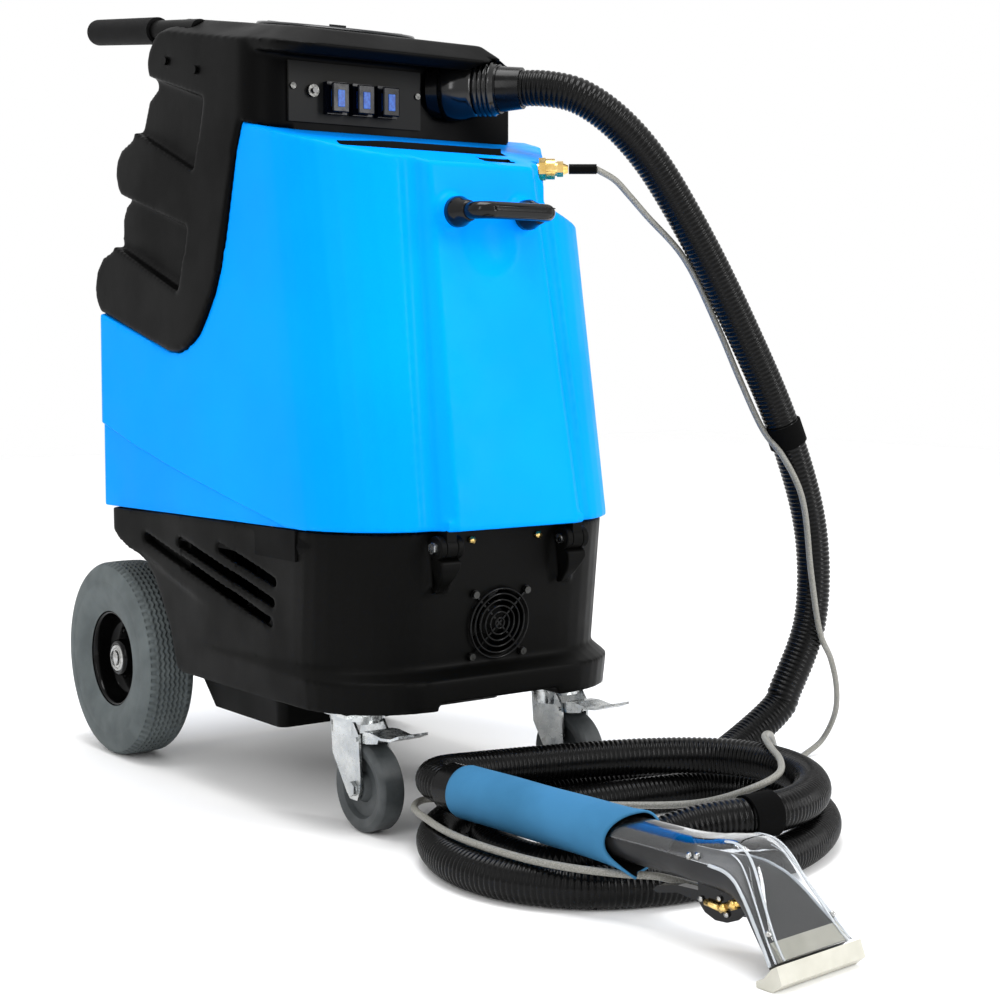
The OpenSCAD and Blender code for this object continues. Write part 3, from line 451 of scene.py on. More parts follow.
sol_floor = [[524.8, -347.3, 94.6], [548, -322, 52], [544, -305, 18], [508, -310, 5], [455, -335, 4],
             [400, -375, 12], [345, -420, 44], [300, -455, 82], [255, -490, 93], [220, -535, 93],
             [185, -585, 92], [148, -620, 90], [112, -632, 86], [86, -604, 70], [72, -560, 56],
             [0, -470, 48], [-45, -430, 48], [-80, -385, 47], [-96, -358, 46.5],
             [-122, -350, 47], [-148, -372, 47], [-164, -420, 47], [-176, -475, 47],
             [-178, -535, 47], [-168, -598, 46], [-154.8, -639.5, 46], [-138.2, -671.3, 46],
             [-118.6, -691.8, 44.6], [-101.3, -706.5, 43.8], [-94.4, -725, 43.2], [-88.6, -754.7, 42.5],
             [-84.6, -779.4, 42], [-83.2, -797.4, 42]]


def smooth_line(points, step):
    """Points a step apart along a smooth curve through the given ones (centripetal Catmull-Rom)."""
    p = np.array(points, float) * MM
    p = np.vstack([2 * p[0] - p[1], p, 2 * p[-1] - p[-2]])
    out = []
    for i in range(1, len(p) - 2):
        p0, p1, p2, p3 = p[i - 1:i + 3]
        t0 = 0.0
        t1 = t0 + np.linalg.norm(p1 - p0) ** 0.5
        t2 = t1 + np.linalg.norm(p2 - p1) ** 0.5
        t3 = t2 + np.linalg.norm(p3 - p2) ** 0.5
        t = np.linspace(t1, t2, 24, endpoint=False)[:, None]
        a1 = (t1 - t) / (t1 - t0) * p0 + (t - t0) / (t1 - t0) * p1
        a2 = (t2 - t) / (t2 - t1) * p1 + (t - t1) / (t2 - t1) * p2
        a3 = (t3 - t) / (t3 - t2) * p2 + (t - t2) / (t3 - t2) * p3
        b1 = (t2 - t) / (t2 - t0) * a1 + (t - t0) / (t2 - t0) * a2
        b2 = (t3 - t) / (t3 - t1) * a2 + (t - t1) / (t3 - t1) * a3
        out.append((t2 - t) / (t2 - t1) * b1 + (t - t1) / (t2 - t1) * b2)
    line = np.vstack(out + [p[-2][None]])
    # a little rounding of the curve's own corners
    for _ in range(6):
        line[1:-1] = (line[:-2] + 2 * line[1:-1] + line[2:]) / 4
    run = np.concatenate([[0], np.cumsum(np.linalg.norm(np.diff(line, axis=0), axis=1))])
    s = np.linspace(0, run[-1], int(round(run[-1] / step)) + 1)
    return np.stack([np.interp(s, run, line[:, k]) for k in range(3)], 1), run[-1]


def tube(name, line, radius_at, around):
    """Tube along a dense line; radius_at gives the radius at a distance along it."""
    t = np.gradient(line, axis=0)
    t /= np.linalg.norm(t, axis=1)[:, None]
    side = np.cross(t[0], (0, 0, 1.0))
    side /= np.linalg.norm(side)
    s = np.concatenate([[0], np.cumsum(np.linalg.norm(np.diff(line, axis=0), axis=1))])
    verts = []
    angles = np.arange(around) * 2 * pi / around
    for k in range(len(line)):
        side = side - t[k] * (side @ t[k])
        side /= np.linalg.norm(side)
        other = np.cross(t[k], side)
        r = radius_at(s[k])
        verts.append(line[k] + r * (np.cos(angles)[:, None] * side + np.sin(angles)[:, None] * other))
    return new_object(name, np.vstack(verts), grid_faces(len(line), around))


RIB = 0.0058


def vacuum_radius(s):
    """Corrugated outside: round ribs with narrow valleys."""
    wave = abs(sin(pi * s / RIB))
    return VAC_D / 2 - 0.0016 * (1 - wave ** 0.8)


def make_hoses(m):
    line, length = smooth_line(vac_drop + vac_floor[1:], RIB / 6)
    hose = put_on(tube("vacuum_hose", line, vacuum_radius, 28), m["hose"])
    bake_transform(hose)
    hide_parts("vacuum_hose_drop", "vacuum_hose_coil")
    sline, slength = smooth_line(sol_drop + sol_floor[1:], 0.004)
    thin = put_on(tube("solution_hose", sline, lambda s: SOL_D / 2, 12), m["braid"])
    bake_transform(thin)
    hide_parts("solution_hose_drop", "solution_hose_floor")


def make_drop_strap(m):
    """Cloth strap round the hanging hose."""
    strap = put_on(cad_copy("drop_strap", "hose_strap"), m["strap"])
    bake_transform(strap)
    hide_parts("drop_strap")


def put_on(obj, material):
    put(material, obj)
    return obj


camera = make_camera()
materials = make_materials()
make_hoses(materials)
make_drop_strap(materials)


def soften(node, width=0.8 * MM, segments=2):
    """Rounded edges on a CAD node, by modifiers only."""
    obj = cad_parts[node]
    b = obj.modifiers.new("bevel", "BEVEL")
    b.width = width
    b.segments = segments
    b.limit_method = "ANGLE"
    b.angle_limit = radians(35)
    b.use_clamp_overlap = True
    w = obj.modifiers.new("normals", "WEIGHTED_NORMAL")
    w.keep_sharp = True
    for p in obj.data.polygons:
        p.use_smooth = True
    return obj


def dress(m):
    """Materials of the CAD nodes that are shown as they are."""
    looks = {
        "base": ["under_pan", "fan_frame", "fan_rotor"],
        "zinc": ["rear_axle", "caster_plates", "caster_fork_left", "caster_fork_right",
                 "brake_pedal_left", "brake_pedal_right", "axle_nuts", "hinge_bolts"],
        "rim": ["rim_left", "rim_right"],
        "steel": ["hub_bearings_left", "hub_bearings_right"],
        "caster": ["caster_wheel_left", "caster_wheel_right"],
        "tyre": ["tyre_left", "tyre_right"],
        "brass": ["quick_connect", "connect_collar", "wand_valve", "pump"],
        "cuff": ["hose_port", "hose_cuff", "wand_hose_cuff", "fan_guard"],
        "handle": ["front_handle", "breaker_button", "wand_trigger"],
        "blue": ["solution_tank"],
        "foam": ["foam_grips"],
        "panel": ["control_panel"],
        "guard": ["switch_guards"],
        "rocker": ["rocker_1", "rocker_2", "rocker_3"],
        "lid": ["lid"],
        "tank": ["recovery_tank", "push_handle", "handle_bolts", "lid_gasket", "hose_sleeve"],
        "strap": ["drop_strap", "coil_strap"],
        "wand": ["wand_tube", "wand_body"],
        "screw": ["panel_screws", "fan_screws", "breaker_collar"],
        "wrap": ["wand_grip"],
        "clear": ["wand_cover"],
        "lip": ["wand_lip"],
        "dark": ["heater", "vacuum_motors", "base_housing"],
    }
    for key, nodes in looks.items():
        for node in nodes:
            put(m[key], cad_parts[node])
            soften(node)


dress(materials)


# ---------------------------------------------------------------- shells

def panel_grooves():
    """Shallow grooves along both edges of the raised front panel."""
    return [rod("groove", (side * 0.1125, -0.3595, 0.318), (side * 0.0915, -0.2885, 0.756), 0.0155, 48)
            for side in (-1, 1)]


def deck_cuts():
    """Filling slot and notch beside the hose connection, crisp in the moulded deck."""
    slot = box_piece("slot", (SLOT_LEFT, SLOT_FRONT, 0.70), (SLOT_RIGHT, SLOT_REAR, 0.80))
    notch = box_piece("notch", (0.018, -0.272, 0.735), (0.062, -0.258, 0.80))
    return [slot, notch]


def tank_creases():
    """Lower part of each flank, set in behind a soft sloping step.

    The flank runs straight from 0.2036 m off the middle near the front to 0.212 m at the back."""
    line = [(0.290, 0.4470), (0.166, 0.4139), (0.064, 0.3906), (-0.073, 0.3623), (-0.193, 0.3395),
            (-0.222, 0.3340)]
    outline = line + [(-0.222, 0.3000), (0.290, 0.3000)]
    pieces = []
    for side in (-1, 1):
        verts = []
        for away, rise in ((-0.0042, -0.0035), (0.0090, 0.0075)):
            for k, (y, z) in enumerate(outline):
                flank = min(0.2122, 0.2087 + 0.0255 * y)
                verts.append((side * (flank + away), y, z + (rise if k < len(line) else 0)))
        pieces.append(new_object("crease", verts, grid_faces(2, len(outline)), smooth=False))
    return pieces


def flank_louvres():
    """Three sloping slots in each flank of the base."""
    runs = (((0.140, 0.297), (-0.158, 0.225)), ((0.051, 0.298), (-0.163, 0.248)),
            ((-0.047, 0.300), (-0.168, 0.272)))
    pieces = []
    for (ya, za), (yb, zb) in runs:
        a, b = Vector((0, ya, za)), Vector((0, yb, zb))
        along = (b - a).normalized()
        up = Vector((0, -along.z, along.y)) * 0.006
        outline = []
        for middle, turn in ((a, 1), (b, -1)):
            for k in range(9):
                t = radians(90 + 22.5 * k) if turn > 0 else radians(-90 + 22.5 * k)
                q = middle + along * (cos(t) * 0.006) + up * sin(t)
                outline.append((q.y, q.z))
        for side in (-1, 1):
            pieces.append(along_x("louvre", outline, side * 0.196, side * 0.226))
    return pieces


def paint_cut_shade(obj, m):
    """The walls of the filling slot and of the notch take the dark material: painted shade."""
    obj.data.materials.append(m["dark"].mat)
    for p in obj.data.polygons:
        x, y, z = p.center
        if 0.70 < z < 0.79 and (SLOT_LEFT - 0.001 < x < SLOT_RIGHT + 0.001
                                and SLOT_FRONT - 0.0004 < y < SLOT_REAR + 0.0004
                                or 0.0175 < x < 0.0625 and -0.2724 < y < -0.2576):
            # painted shade on the walls of the filling slot and the notch
            p.material_index = 1


def bevelled(obj, width, segments=3):
    b = obj.modifiers.new("bevel", "BEVEL")
    b.width = width
    b.segments = segments
    b.limit_method = "ANGLE"
    b.angle_limit = radians(35)
    for p in obj.data.polygons:
        p.use_smooth = True
    b.harden_normals = True
    return obj


def make_hinges(m):
    """Black hinge barrels at the front: ears of the base round the knuckles of the tank."""
    for side in (-1, 1):
        word = "left" if side < 0 else "right"
        x = side * PIVOT.x
        knuckle = joined("hinge_knuckle_" + word, [
            bevelled(rod("k", (x - 0.0070, PIVOT.y, PIVOT.z), (x + 0.0070, PIVOT.y, PIVOT.z), 0.0129, 40), 0.0008),
            along_x("n", [(-0.3385, 0.320), (-0.3385, 0.345), (-0.3560, 0.345), (-0.3570, 0.320)],
                    x - 0.0066, x + 0.0066)])
        put(m["base"], knuckle)
        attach(knuckle, "tanks")
        for off in (-1, 1):
            a, b = x + off * 0.0073, x + off * 0.0155
            ear = bevelled(rod("hinge_ear", (a, PIVOT.y, PIVOT.z), (b, PIVOT.y, PIVOT.z), 0.0131, 40), 0.0015)
            put(m["base"], ear)
            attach(ear, "base")
        outline = [(-0.322, 0.308), (-0.334, 0.309), (-0.349, 0.3085), (-0.3565, 0.3045), (-0.3560, 0.298),
                   (-0.3525, 0.290), (-0.3475, 0.283), (-0.3420, 0.2775), (-0.3370, 0.2735), (-0.3335, 0.268),
                   (-0.322, 0.266)]
        gusset = along_x("hinge_gusset", outline, x - 0.0135, x + 0.0135)
        for v in gusset.data.vertices:
            v.co.x = x + (v.co.x - x) * max(0.45, min(1.0, (v.co.z - 0.258) / 0.040))
        bevelled(gusset, 0.0025)
        put(m["base"], gusset)
        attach(gusset, "base")


def knuckle_cut():
    return box_piece("cut", (-0.112, -0.380, 0.300), (0.112, -0.3345, 0.3372))


def ear_cuts():
    return [box_piece("cut", (side * 0.087 - 0.019, -0.370, 0.255), (side * 0.087 + 0.019, -0.3345, 0.340))
            for side in (-1, 1)]


def make_slot_shade_lip(m, shell):
    """The slot's raised rear wall, following the deck, in the dark material: painted shade of the slot."""
    xs = [-0.149 + 0.221 * i / 16 for i in range(17)]
    verts = []
    for i, x in enumerate(xs):
        hit, place, _, _ = shell.ray_cast(Vector((x, -0.2285, 1.0)), Vector((0, 0, -1)))
        top = (place.z if hit else 0.757) + 0.0046 * min(1.0, 0.25 + i / 6)
        verts += [(x, -0.2312, 0.735), (x, -0.2312, top), (x, -0.2268, top + 0.0004), (x, -0.2250, 0.735)]
    lip = new_object("slot_shade_wall", verts, grid_faces(len(xs), 4), smooth=False)
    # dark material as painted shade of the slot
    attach(put_on(lip, m["dark"]), "tanks")


def make_seam_shade_walls(m):
    """Dark walls inside the base's rim, which keep light out of the seam under the tank: painted shade of the
    seam.
    """
    outline = [(-0.220, 0.300), (0.220, 0.300), (0.220, 0.3285), (-0.220, 0.3345)]
    walls = [along_x("rim_wall", outline, *sorted((side * 0.1930, side * 0.2030))) for side in (-1, 1)]
    walls.append(box_piece("rim_wall", (-0.130, -0.300, 0.300), (0.130, -0.296, 0.3355)))
    walls.append(box_piece("rim_wall", (-0.194, 0.190, 0.3070), (0.194, 0.2325, 0.3105)))
    for side in (-1, 1):
        wall = rod("rim_wall", (side * 0.194, -0.220, 0.3175), (side * 0.130, -0.298, 0.3175), 0.0175, 4)
        walls.append(wall)
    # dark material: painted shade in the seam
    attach(put_on(joined("seam_shade_wall", walls), m["dark"]), "base")


def make_shells(m):
    blue = put_on(moulded("solution_shell", "solution_tank", "tanks", "blue_plastic", rounds=5,
                          cutters=[*panel_grooves(), knuckle_cut()],
                          late=deck_cuts() + tank_creases()), m["blue"])
    paint_cut_shade(blue, m)
    put(m["tank"], moulded("recovery_shell", "recovery_tank", "tanks", "tank_plastic", rounds=6))
    put(m["base"], moulded("base_shell", "base_housing", "base", "base_plastic", rounds=2,
                           cutters=ear_cuts(), late=flank_louvres()))
    make_slot_shade_lip(m, blue)
    make_seam_shade_walls(m)
    make_hinges(m)


make_shells(materials)


# ---------------------------------------------------------------- rear wheels

def tread_depth(u, a):
    """Depth of the tread pattern at a distance across (mm) and an angle around."""
    turn = (a * 80 / (2 * pi)) % 1
    zig = abs(turn - 0.5) * 4 - 1
    depth = 0.0
    for line in (-15, -9, -3, 3, 9, 15):
        off = abs(u - line - 1.3 * zig)
        depth = max(depth, 2.4 * max(0.0, min(1.0, 1.9 - off)))
    if 19.5 < abs(u) < 26.5 and turn < 0.45:
        depth = max(depth, 2.4)
    return depth


def make_tyre(m, side):
    word = "left" if side < 0 else "right"
    low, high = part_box("tyre_" + word)
    middle = (low + high) / 2
    rows = [(-23.5, 62.5), (-25, 67), (-29.5, 76), (-31.4, 88), (-31.2, 98), (-30.6, 100), (-31.2, 102),
            (-30.4, 110), (-28.6, 116.5)]
    crown = []
    for k in range(61):
        u = -27.6 + 55.2 * k / 60
        crown.append((u, 127 - 0.9 * (u / 22) ** 2 - 4.2 * max(0.0, (abs(u) - 20) / 7.6) ** 2))
    rows = rows + crown + [(-u, r) for u, r in reversed(rows)]
    around = 640
    verts = []
    for u, r in rows:
        for i in range(around):
            a = 2 * pi * i / around
            rr = r - (tread_depth(u, a) if r > 118 else 0)
            verts.append((middle.x + 1.095 * u * MM, middle.y + rr * MM * cos(a), middle.z + rr * MM * sin(a)))
    tyre = new_object("tyre_tread_" + word, verts, grid_faces(len(rows), around, cap=False))
    put(m["tyre"], tyre)
    shown(tyre, word + "_wheel", "grey_tyre", "tyre_" + word)


def wheel_place(side):
    """Frame of a rear wheel's centre whose local Z points outward."""
    low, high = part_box("tyre_" + ("left" if side < 0 else "right"))
    return Matrix.Translation((low + high) / 2) @ Matrix.Rotation(side * pi / 2, 4, "Y")


RIM = [(17.2, -24), (30, -24), (34, -14), (50, -12), (57, -20), (61.6, -21), (62.4, 21), (61.5, 24.5),
       (60, 24.5), (58.6, 22), (57.4, 16), (56.6, 4), (54, -3), (50, -6), (40, -8), (33, -7.5), (28, -4),
       (25.5, 4), (24, 14), (22.5, 18.5), (19, 19.5), (17.2, 18)]


def make_rim(m, side):
    word = "left" if side < 0 else "right"
    place = wheel_place(side)
    rim = lathe("rim_dish_" + word, [(r * MM, z * MM) for r, z in RIM + RIM[:1]], place, 96)
    put(m["rim"], rim)
    shown(rim, word + "_wheel", "black_paint", "rim_" + word)
    race = lathe("bearing_" + word, [(8.2 * MM, 18.5 * MM), (9.8 * MM, 20.6 * MM), (12.4 * MM, 20.2 * MM),
                                     (12.8 * MM, 19.4 * MM), (14.0 * MM, 19.4 * MM), (14.4 * MM, 20.6 * MM),
                                     (17.0 * MM, 20.6 * MM), (17.1 * MM, -24 * MM), (8.2 * MM, -24 * MM),
                                     (8.2 * MM, 18.5 * MM)], place, 64)
    put(m["steel"], race)
    shown(race, word + "_wheel", "bearing_steel", "hub_bearings_" + word)
    for k in range(4):
        a = pi / 4 + k * pi / 2
        foot = place @ Vector((0.043 * cos(a), 0.043 * sin(a), -0.008))
        head = place @ Vector((0.043 * cos(a), 0.043 * sin(a), -0.0045))
        bolt = put_on(rod("rim_bolt", foot, head, 0.0042, 6), m["rim"])
        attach(bolt, word + "_wheel")


def make_axle(m):
    left, right = wheel_place(-1), wheel_place(1)
    ends = [place @ Vector((0, 0, 0.0225)) for place in (left, right)]
    axle = put_on(rod("axle_bar", *ends, 0.0079, 40), m["steel"])
    shown(bevelled(axle, 0.0015), "base", "zinc_steel", "rear_axle")
    nuts = []
    for place in (left, right):
        nuts.append(rod("n", place @ Vector((0, 0, 0.0212)), place @ Vector((0, 0, 0.0232)), 0.0098, 40))
    shown(put_on(joined("axle_rings", nuts), m["steel"]), "base", "zinc_steel", "axle_nuts")


for hand in (-1, 1):
    make_tyre(materials, hand)
    make_rim(materials, hand)
make_axle(materials)


# ---------------------------------------------------------------- wand

WAND = Matrix.Translation(WAND_ORIGIN) @ Matrix.Rotation(radians(WAND_TURN), 4, "Z")


def wand_point(x, y, z):
    return WAND @ Vector((x * MM, y * MM, z * MM))


def make_grip(m):
    """Cloth wrap with an open, slanting end and a black lining."""
    around, rings = 72, 60
    outer, inner = [], []
    for k in range(rings + 1):
        f = k / rings
        for i in range(around):
            a = 2 * pi * i / around
            flap = math.exp(-((a - 5.3) / 0.3) ** 2)
            end = 265 - 20 * max(0.0, cos(a)) ** 1.5 + 19 * flap
            y = 9 + (end - 9) * f
            rolled = 0.9 * math.exp(-((f - 1) / 0.05) ** 2)
            r = 28.2 + 0.8 * f ** 6 + 0.35 * sin(3 * a + 5 * f) * sin(9 * f) + rolled
            r += 5.5 * flap * f ** 12
            if k == 0:
                r -= 1.2
            outer.append(wand_point(r * cos(a), y, WAND_AXIS_Z + r * sin(a)))
            within = r - 2.6
            inner.append(wand_point(within * cos(a), y + (0 if k else 0.4), WAND_AXIS_Z + within * sin(a)))
    n = (rings + 1) * around
    faces = grid_faces(rings + 1, around, cap=False)
    verts = outer + inner
    inside = [tuple(reversed([i + n for i in f])) for f in faces]
    ends = []
    for i in range(around):
        j = (i + 1) % around
        ends.append((i, i + n, j + n, j))
        b = rings * around
        ends.append((b + i, b + j, b + j + n, b + i + n))
    wrap = new_object("grip_wrap", verts, faces + inside + ends)
    put(m["wrap"], wrap)
    wrap.data.materials.append(m["lining"].mat)
    for p in wrap.data.polygons:
        if all(v >= n for v in p.vertices):
            p.material_index = 1
    shown(wrap, "base", "wrap_fabric", "wand_grip")


# Head of the wand: bottom, seam and top as (y, z), half width, squareness of the section (mm)
HEAD = [
    ((232, 54.4), (232, 81.0), (232, 98.6), 22.3, 2.0),
    ((300, 54.6), (300, 82.0), (300, 99.0), 22.3, 2.0),
    ((330, 55.8), (332, 82.0), (334, 99.8), 22.5, 2.3),
    ((350, 56.8), (353, 82.0), (356, 102.0), 22.8, 3.0),
    ((370, 57.0), (375, 82.0), (380, 106.5), 23.4, 3.4),
    ((386, 56.8), (394, 80.8), (402, 109.3), 24.4, 3.8),
    ((400, 55.2), (408, 76.5), (417, 105.0), 27.2, 4.0),
    ((412, 50.8), (419, 70.2), (429, 93.0), 31.2, 4.0),
    ((425, 44.3), (432, 59.5), (441.5, 72.0), 35.9, 4.4),
    ((441, 31.8), (446, 45.5), (453.5, 54.0), 41.0, 5.0),
    ((456, 19.8), (459.5, 32.0), (465, 38.0), 45.9, 5.0),
    ((463, 13.5), (469.5, 20.0), (477, 25.0), 49.4, 5.0)]


def head_stations(steps=5):
    """Stations of the head filled in along a smooth curve: arrays of bottom, seam, top, width, squareness."""
    rows = np.array([[*a, *b, *c, w, n] for a, b, c, w, n in HEAD])
    rows = np.vstack([2 * rows[0] - rows[1], rows, 2 * rows[-1] - rows[-2]])
    out = []
    for i in range(1, len(rows) - 2):
        p0, p1, p2, p3 = rows[i - 1:i + 3]
        for k in range(steps):
            t = k / steps
            out.append(0.5 * (2 * p1 + (p2 - p0) * t + (2 * p0 - 5 * p1 + 4 * p2 - p3) * t * t
                              + (3 * p1 - p0 - 3 * p2 + p3) * t ** 3))
    out.append(rows[-2])
    return out


def section_point(row, a, upper, wider=0.0, thinner=0.0):
    """Point of the head's section at an angle from the near side, on its upper or lower half."""
    seam, edge = row[2:4], (row[4:6] if upper else row[0:2])
    reach = edge - seam
    reach = reach * (1 - thinner / np.linalg.norm(reach))
    c, d = cos(a), sin(a)
    power = 2 / row[7]
    x = (row[6] + wider) * math.copysign(abs(c) ** power, c)
    y, z = seam + reach * abs(d) ** power
    return wand_point(x, y, z)


def make_head(m):
    """Dark lower shell with a flat floor, clear upper shell with beaded edges, valve bracket and lip. The beads
    are pale, as painted highlight lines.
    """
    rows = head_stations()
    around = 32
    lower = [section_point(row, pi * i / around, False) for row in rows for i in range(around + 1)]
    body = new_object("wand_lower_shell", lower, grid_faces(len(rows), around + 1))
    body.data.set_sharp_from_angle(angle=radians(40))
    shown(put_on(body, m["wand"]), "base", "wand_dark", "wand_body")
    upper = []
    for row in rows:
        upper += [section_point(row, pi * i / around, True, 2.4) for i in range(around + 1)]
        upper += [section_point(row, pi * (around - i) / around, True, 0.2, 2.4) for i in range(around + 1)]
    cover = new_object("wand_clear_shell", upper, grid_faces(len(rows), 2 * (around + 1)))
    cover.data.set_sharp_from_angle(angle=radians(40))
    shown(put_on(cover, m["clear"]), "base", "clear_plastic", "wand_cover")
    # seam beads are real edges; ridge and inner beads are painted highlight lines
    for name, angle, size, first in (("seam_near", 0.0, 1.7, 20), ("seam_far", pi, 1.7, 20),
                                     ("ridge_near", 0.95, 1.3, 22), ("ridge_far", pi - 0.95, 1.3, 22),
                                     ("inner_near", 0.4, 0.8, 26), ("inner_far", pi - 0.4, 0.8, 26)):
        line = np.array([section_point(row, angle, True, 2.6) for row in rows[first:]])
        bead = put_on(tube("wand_bead_" + name, line, lambda s, r=size: r * MM, 10), m["bead"])
        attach(bead, "base")
    for x, y, z in ((42, 458, 42), (-42, 458, 42), (26, 362, 86), (-26, 362, 86), (26, 352, 84)):
        base = wand_point(x, y, z)
        way = WAND.to_3x3() @ Vector((0.35 if x > 0 else -0.35, 0.45 if y > 400 else 0, 0.75))
        screw = rod("wand_screw", base, base + way.normalized() * 0.0045, 0.0032, 16, 0.0026)
        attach(put_on(screw, m["steel"]), "base")
    jaw = along_x("wand_jaw", [(0.4600, 0.0345), (0.4630, 0.0375), (0.4755, 0.0250), (0.4715, 0.0215)],
                  -0.044, 0.044)
    jaw.data.transform(WAND)
    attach(put_on(jaw, m["lip"]), "base")
    make_bracket(m)
    make_inlet(m)


def make_inlet(m):
    """Brass inlet behind the bracket, where the solution hose ends."""
    for (ya, yb), r, sides in (((362, 369), 4.9, 24), ((369, 383), 6.2, 6)):
        piece = rod("valve_inlet", wand_point(-19, ya, 42), wand_point(-19, yb, 42), r * MM, sides)
        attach(put_on(piece, m["brass"]), "base")


def make_bracket(m):
    """Rounded bracket plates with chrome screws, brass fittings between and beside them."""
    outline = [(350, 60), (404, 57), (411, 51), (409, 44), (399, 35), (386, 29.5), (372, 28.5), (359, 33),
               (351.5, 41)]
    for side in (-1, 1):
        low, high = sorted((side * 0.0102, side * 0.0138))
        plate = along_x("valve_bracket", [(y * MM, z * MM) for y, z in outline], low, high)
        plate.data.transform(WAND)
        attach(put_on(bevelled(plate, 0.0014), m["handle"]), "base")
    near = 13.8
    for y, z in ((356, 45), (378, 50), (387, 38)):
        screw = rod("bracket_screw", wand_point(near, y, z), wand_point(near + 2.6, y, z), 0.0030, 20, 0.0024)
        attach(put_on(screw, m["steel"]), "base")
    runs = (((363, 44), (381, 42.5), 3.0, 20), ((381, 42), (388, 46), 4.2, 6), ((388, 46), (404, 53), 3.2, 20),
            ((394, 48.5), (400, 51), 5.2, 6))
    for (ya, za), (yb, zb), r, sides in runs:
        piece = rod("valve_fitting", wand_point(near + 2.4, ya, za), wand_point(near + 2.4, yb, zb), r * MM, sides)
        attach(put_on(piece, m["brass"]), "base")


make_grip(materials)
make_head(materials)


# ---------------------------------------------------------------- small details

def make_splash_covers(m):
    """Black glossy splash covers over the rocker switches, each with a small blue window."""
    for k in (1, 2, 3):
        low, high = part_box("rocker_%d" % k)
        middle = (low + high) / 2
        front = low.y - 0.0046
        cover = box_piece("splash_cover_%d" % k, (middle.x - 0.0112, front, middle.z - 0.0165),
                          (middle.x + 0.0112, low.y - 0.0008, middle.z + 0.0165))
        put(m["guard"], bevelled(cover, 0.0016))
        window = box_piece("switch_window_%d" % k, (middle.x - 0.0046, front - 0.0007, middle.z - 0.0105),
                           (middle.x + 0.0046, front + 0.0003, middle.z + 0.0085))
        put(m["rocker"], bevelled(window, 0.0006, 2))
        for o in (cover, window):
            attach(o, "tanks")


def make_lift_collars(m):
    """Flared black collars where the lifting handle enters the tank."""
    for side in (-1, 1):
        place = (Matrix.Translation((side * LIFT_PLACE.x, LIFT_PLACE.y, LIFT_PLACE.z)) @ Matrix.Rotation(pi / 2, 4, "X"))
        profile = [(0.0096, -0.006), (0.0172, -0.006), (0.0170, 0.001), (0.0150, 0.006), (0.0128, 0.012),
                   (0.0112, 0.019), (0.0096, 0.0215), (0.0096, -0.006)]
        collar = put_on(lathe("lift_collar", profile, place, 40), m["handle"])
        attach(collar, "tanks")


def make_seam_fittings(m):
    """Small brass screws in the base's rim between the hinges."""
    for x in (-0.0448, 0.0473):
        head = put_on(rod("seam_screw", (x, -0.3315, 0.3245), (x, -0.3372, 0.3245), 0.0042, 6), m["brass"])
        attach(head, "base")


def make_lid(m):
    """Smoke-dark lid with a rolled edge, a shallow dome and three grip lugs."""
    place = Matrix.Translation(LID_BASE) @ Matrix.Rotation(radians(TOP_TILT), 4, "X")
    profile = [(0.0010, -0.0090), (0.0750, -0.0090), (0.0760, -0.0006), (0.0925, -0.0006), (0.0965, 0.0002),
               (0.0980, 0.0022), (0.0980, 0.0042), (0.0964, 0.0060), (0.0925, 0.0066), (0.0900, 0.0060),
               (0.0600, 0.0070), (0.0300, 0.0078), (0.0010, 0.0080)]
    pieces = [lathe("lid_dome", profile, place, 96)]
    for k in range(3):
        turn = place @ Matrix.Rotation(radians(120 * k), 4, "Z")
        lug = box_piece("lid_lug", (0.080, -0.010, 0.0050), (0.092, 0.010, 0.0088))
        lug.data.transform(turn)
        pieces.append(lug)
    whole = put_on(joined("lid_dome", pieces), m["lid"])
    whole.data.set_sharp_from_angle(angle=radians(40))
    shown(whole, "lid_body", "lid_smoke", "lid")


make_lid(materials)


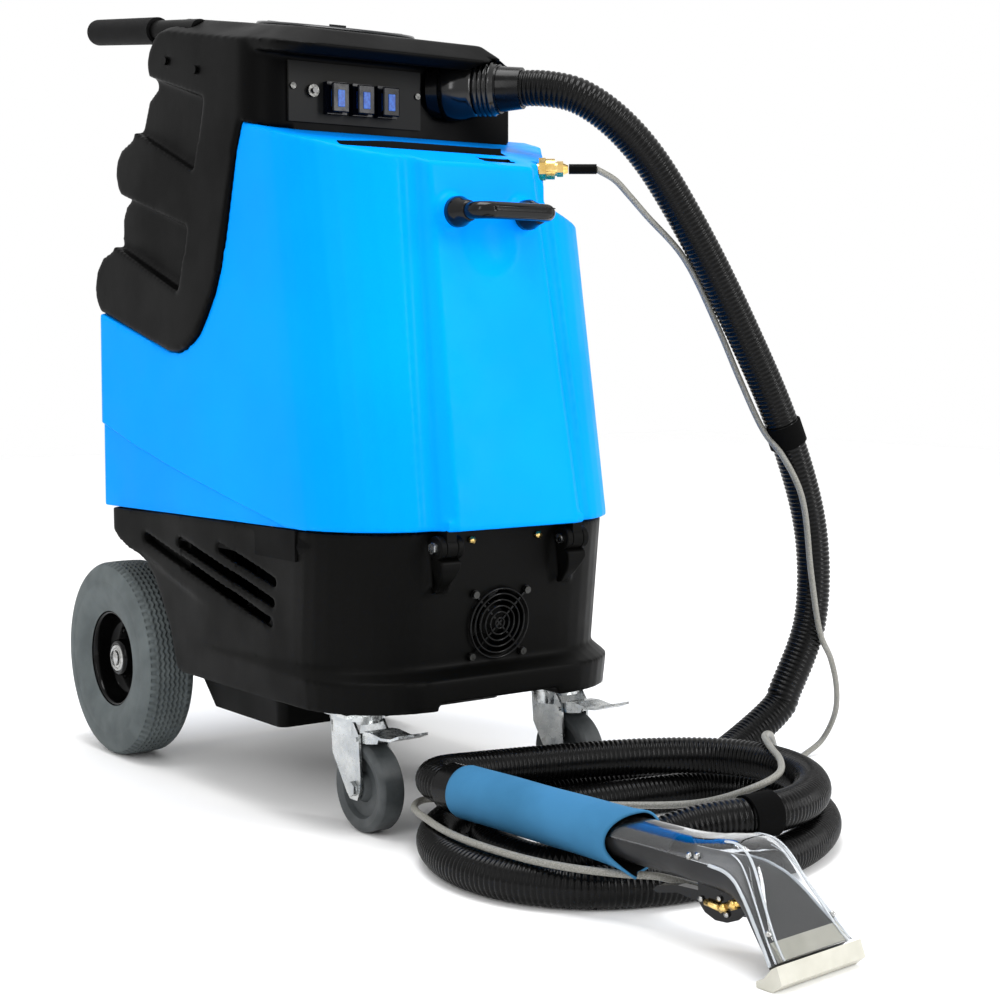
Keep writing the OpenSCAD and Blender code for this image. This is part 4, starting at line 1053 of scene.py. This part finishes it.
def make_port_rings(m):
    """Swelling boss of the vacuum port and the ribs of the cuff turning in it."""
    place = (Matrix.Translation(PORT_BASE) @ Matrix.Rotation(radians(PORT_TURN), 4, "Z")
             @ Matrix.Rotation(radians(90), 4, "Y"))
    boss = [(0.0190, 0.0), (0.0345, 0.0), (0.0362, 0.008), (0.0360, 0.018), (0.0345, 0.027), (0.0322, 0.034),
            (0.0308, 0.0395), (0.0190, 0.0395)]
    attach(put_on(lathe("port_boss", boss, place, 72), m["fitting"]), "tanks")
    ribs = [(0.0272, 0.0412)]
    for k in range(4):
        z = 0.0412 + 0.0056 * k
        ribs += [(0.0292, z), (0.0312, z + 0.0010), (0.0318, z + 0.0022), (0.0312, z + 0.0034),
                 (0.0292, z + 0.0044)]
    ribs += [(0.0285, 0.0660), (0.0272, 0.0664)]
    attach(put_on(lathe("cuff_ribs", ribs, place, 72), m["fitting"]), "cuff")


make_port_rings(materials)
make_lift_collars(materials)
make_seam_fittings(materials)
make_splash_covers(materials)


# ---------------------------------------------------------------- studio

def make_studio():
    floor = new_object("floor", [(-6, -6, 0), (6, -6, 0), (6, 6, 0), (-6, 6, 0)], [(0, 1, 2, 3)])
    s = Shader("floor_pale", (0.985, 0.985, 0.985), 0.7)
    s.set("Specular IOR Level", 0.1)
    s.vary_rough(s.noise(3), 0.5, 0.7)
    put(s, floor)
    world = bpy.context.scene.world or bpy.data.worlds.new("world")
    bpy.context.scene.world = world
    world.use_nodes = True
    world.node_tree.nodes["Background"].inputs["Color"].default_value = (1, 1, 1, 1)
    world.node_tree.nodes["Background"].inputs["Strength"].default_value = 1.0
    for name, place, wide, high, power in (
            ("left_strip", (-2.3, -1.5, 1.7), 0.4, 1.8, 12),
            ("right_strip", (1.5, -3.0, 1.5), 0.5, 1.8, 55),
            ("top_box", (-0.2, -0.3, 3.1), 1.5, 1.5, 60)):
        light = bpy.data.lights.new(name, "AREA")
        light.shape = "RECTANGLE"
        light.size, light.size_y = wide, high
        light.energy = power
        o = bpy.data.objects.new(name, light)
        o.location = place
        o.rotation_euler = (Vector((0, -0.2, 0.45)) - Vector(place)).to_track_quat("-Z", "Y").to_euler()
        bpy.context.scene.collection.objects.link(o)
    bpy.context.scene.view_settings.view_transform = "Standard"


make_studio()
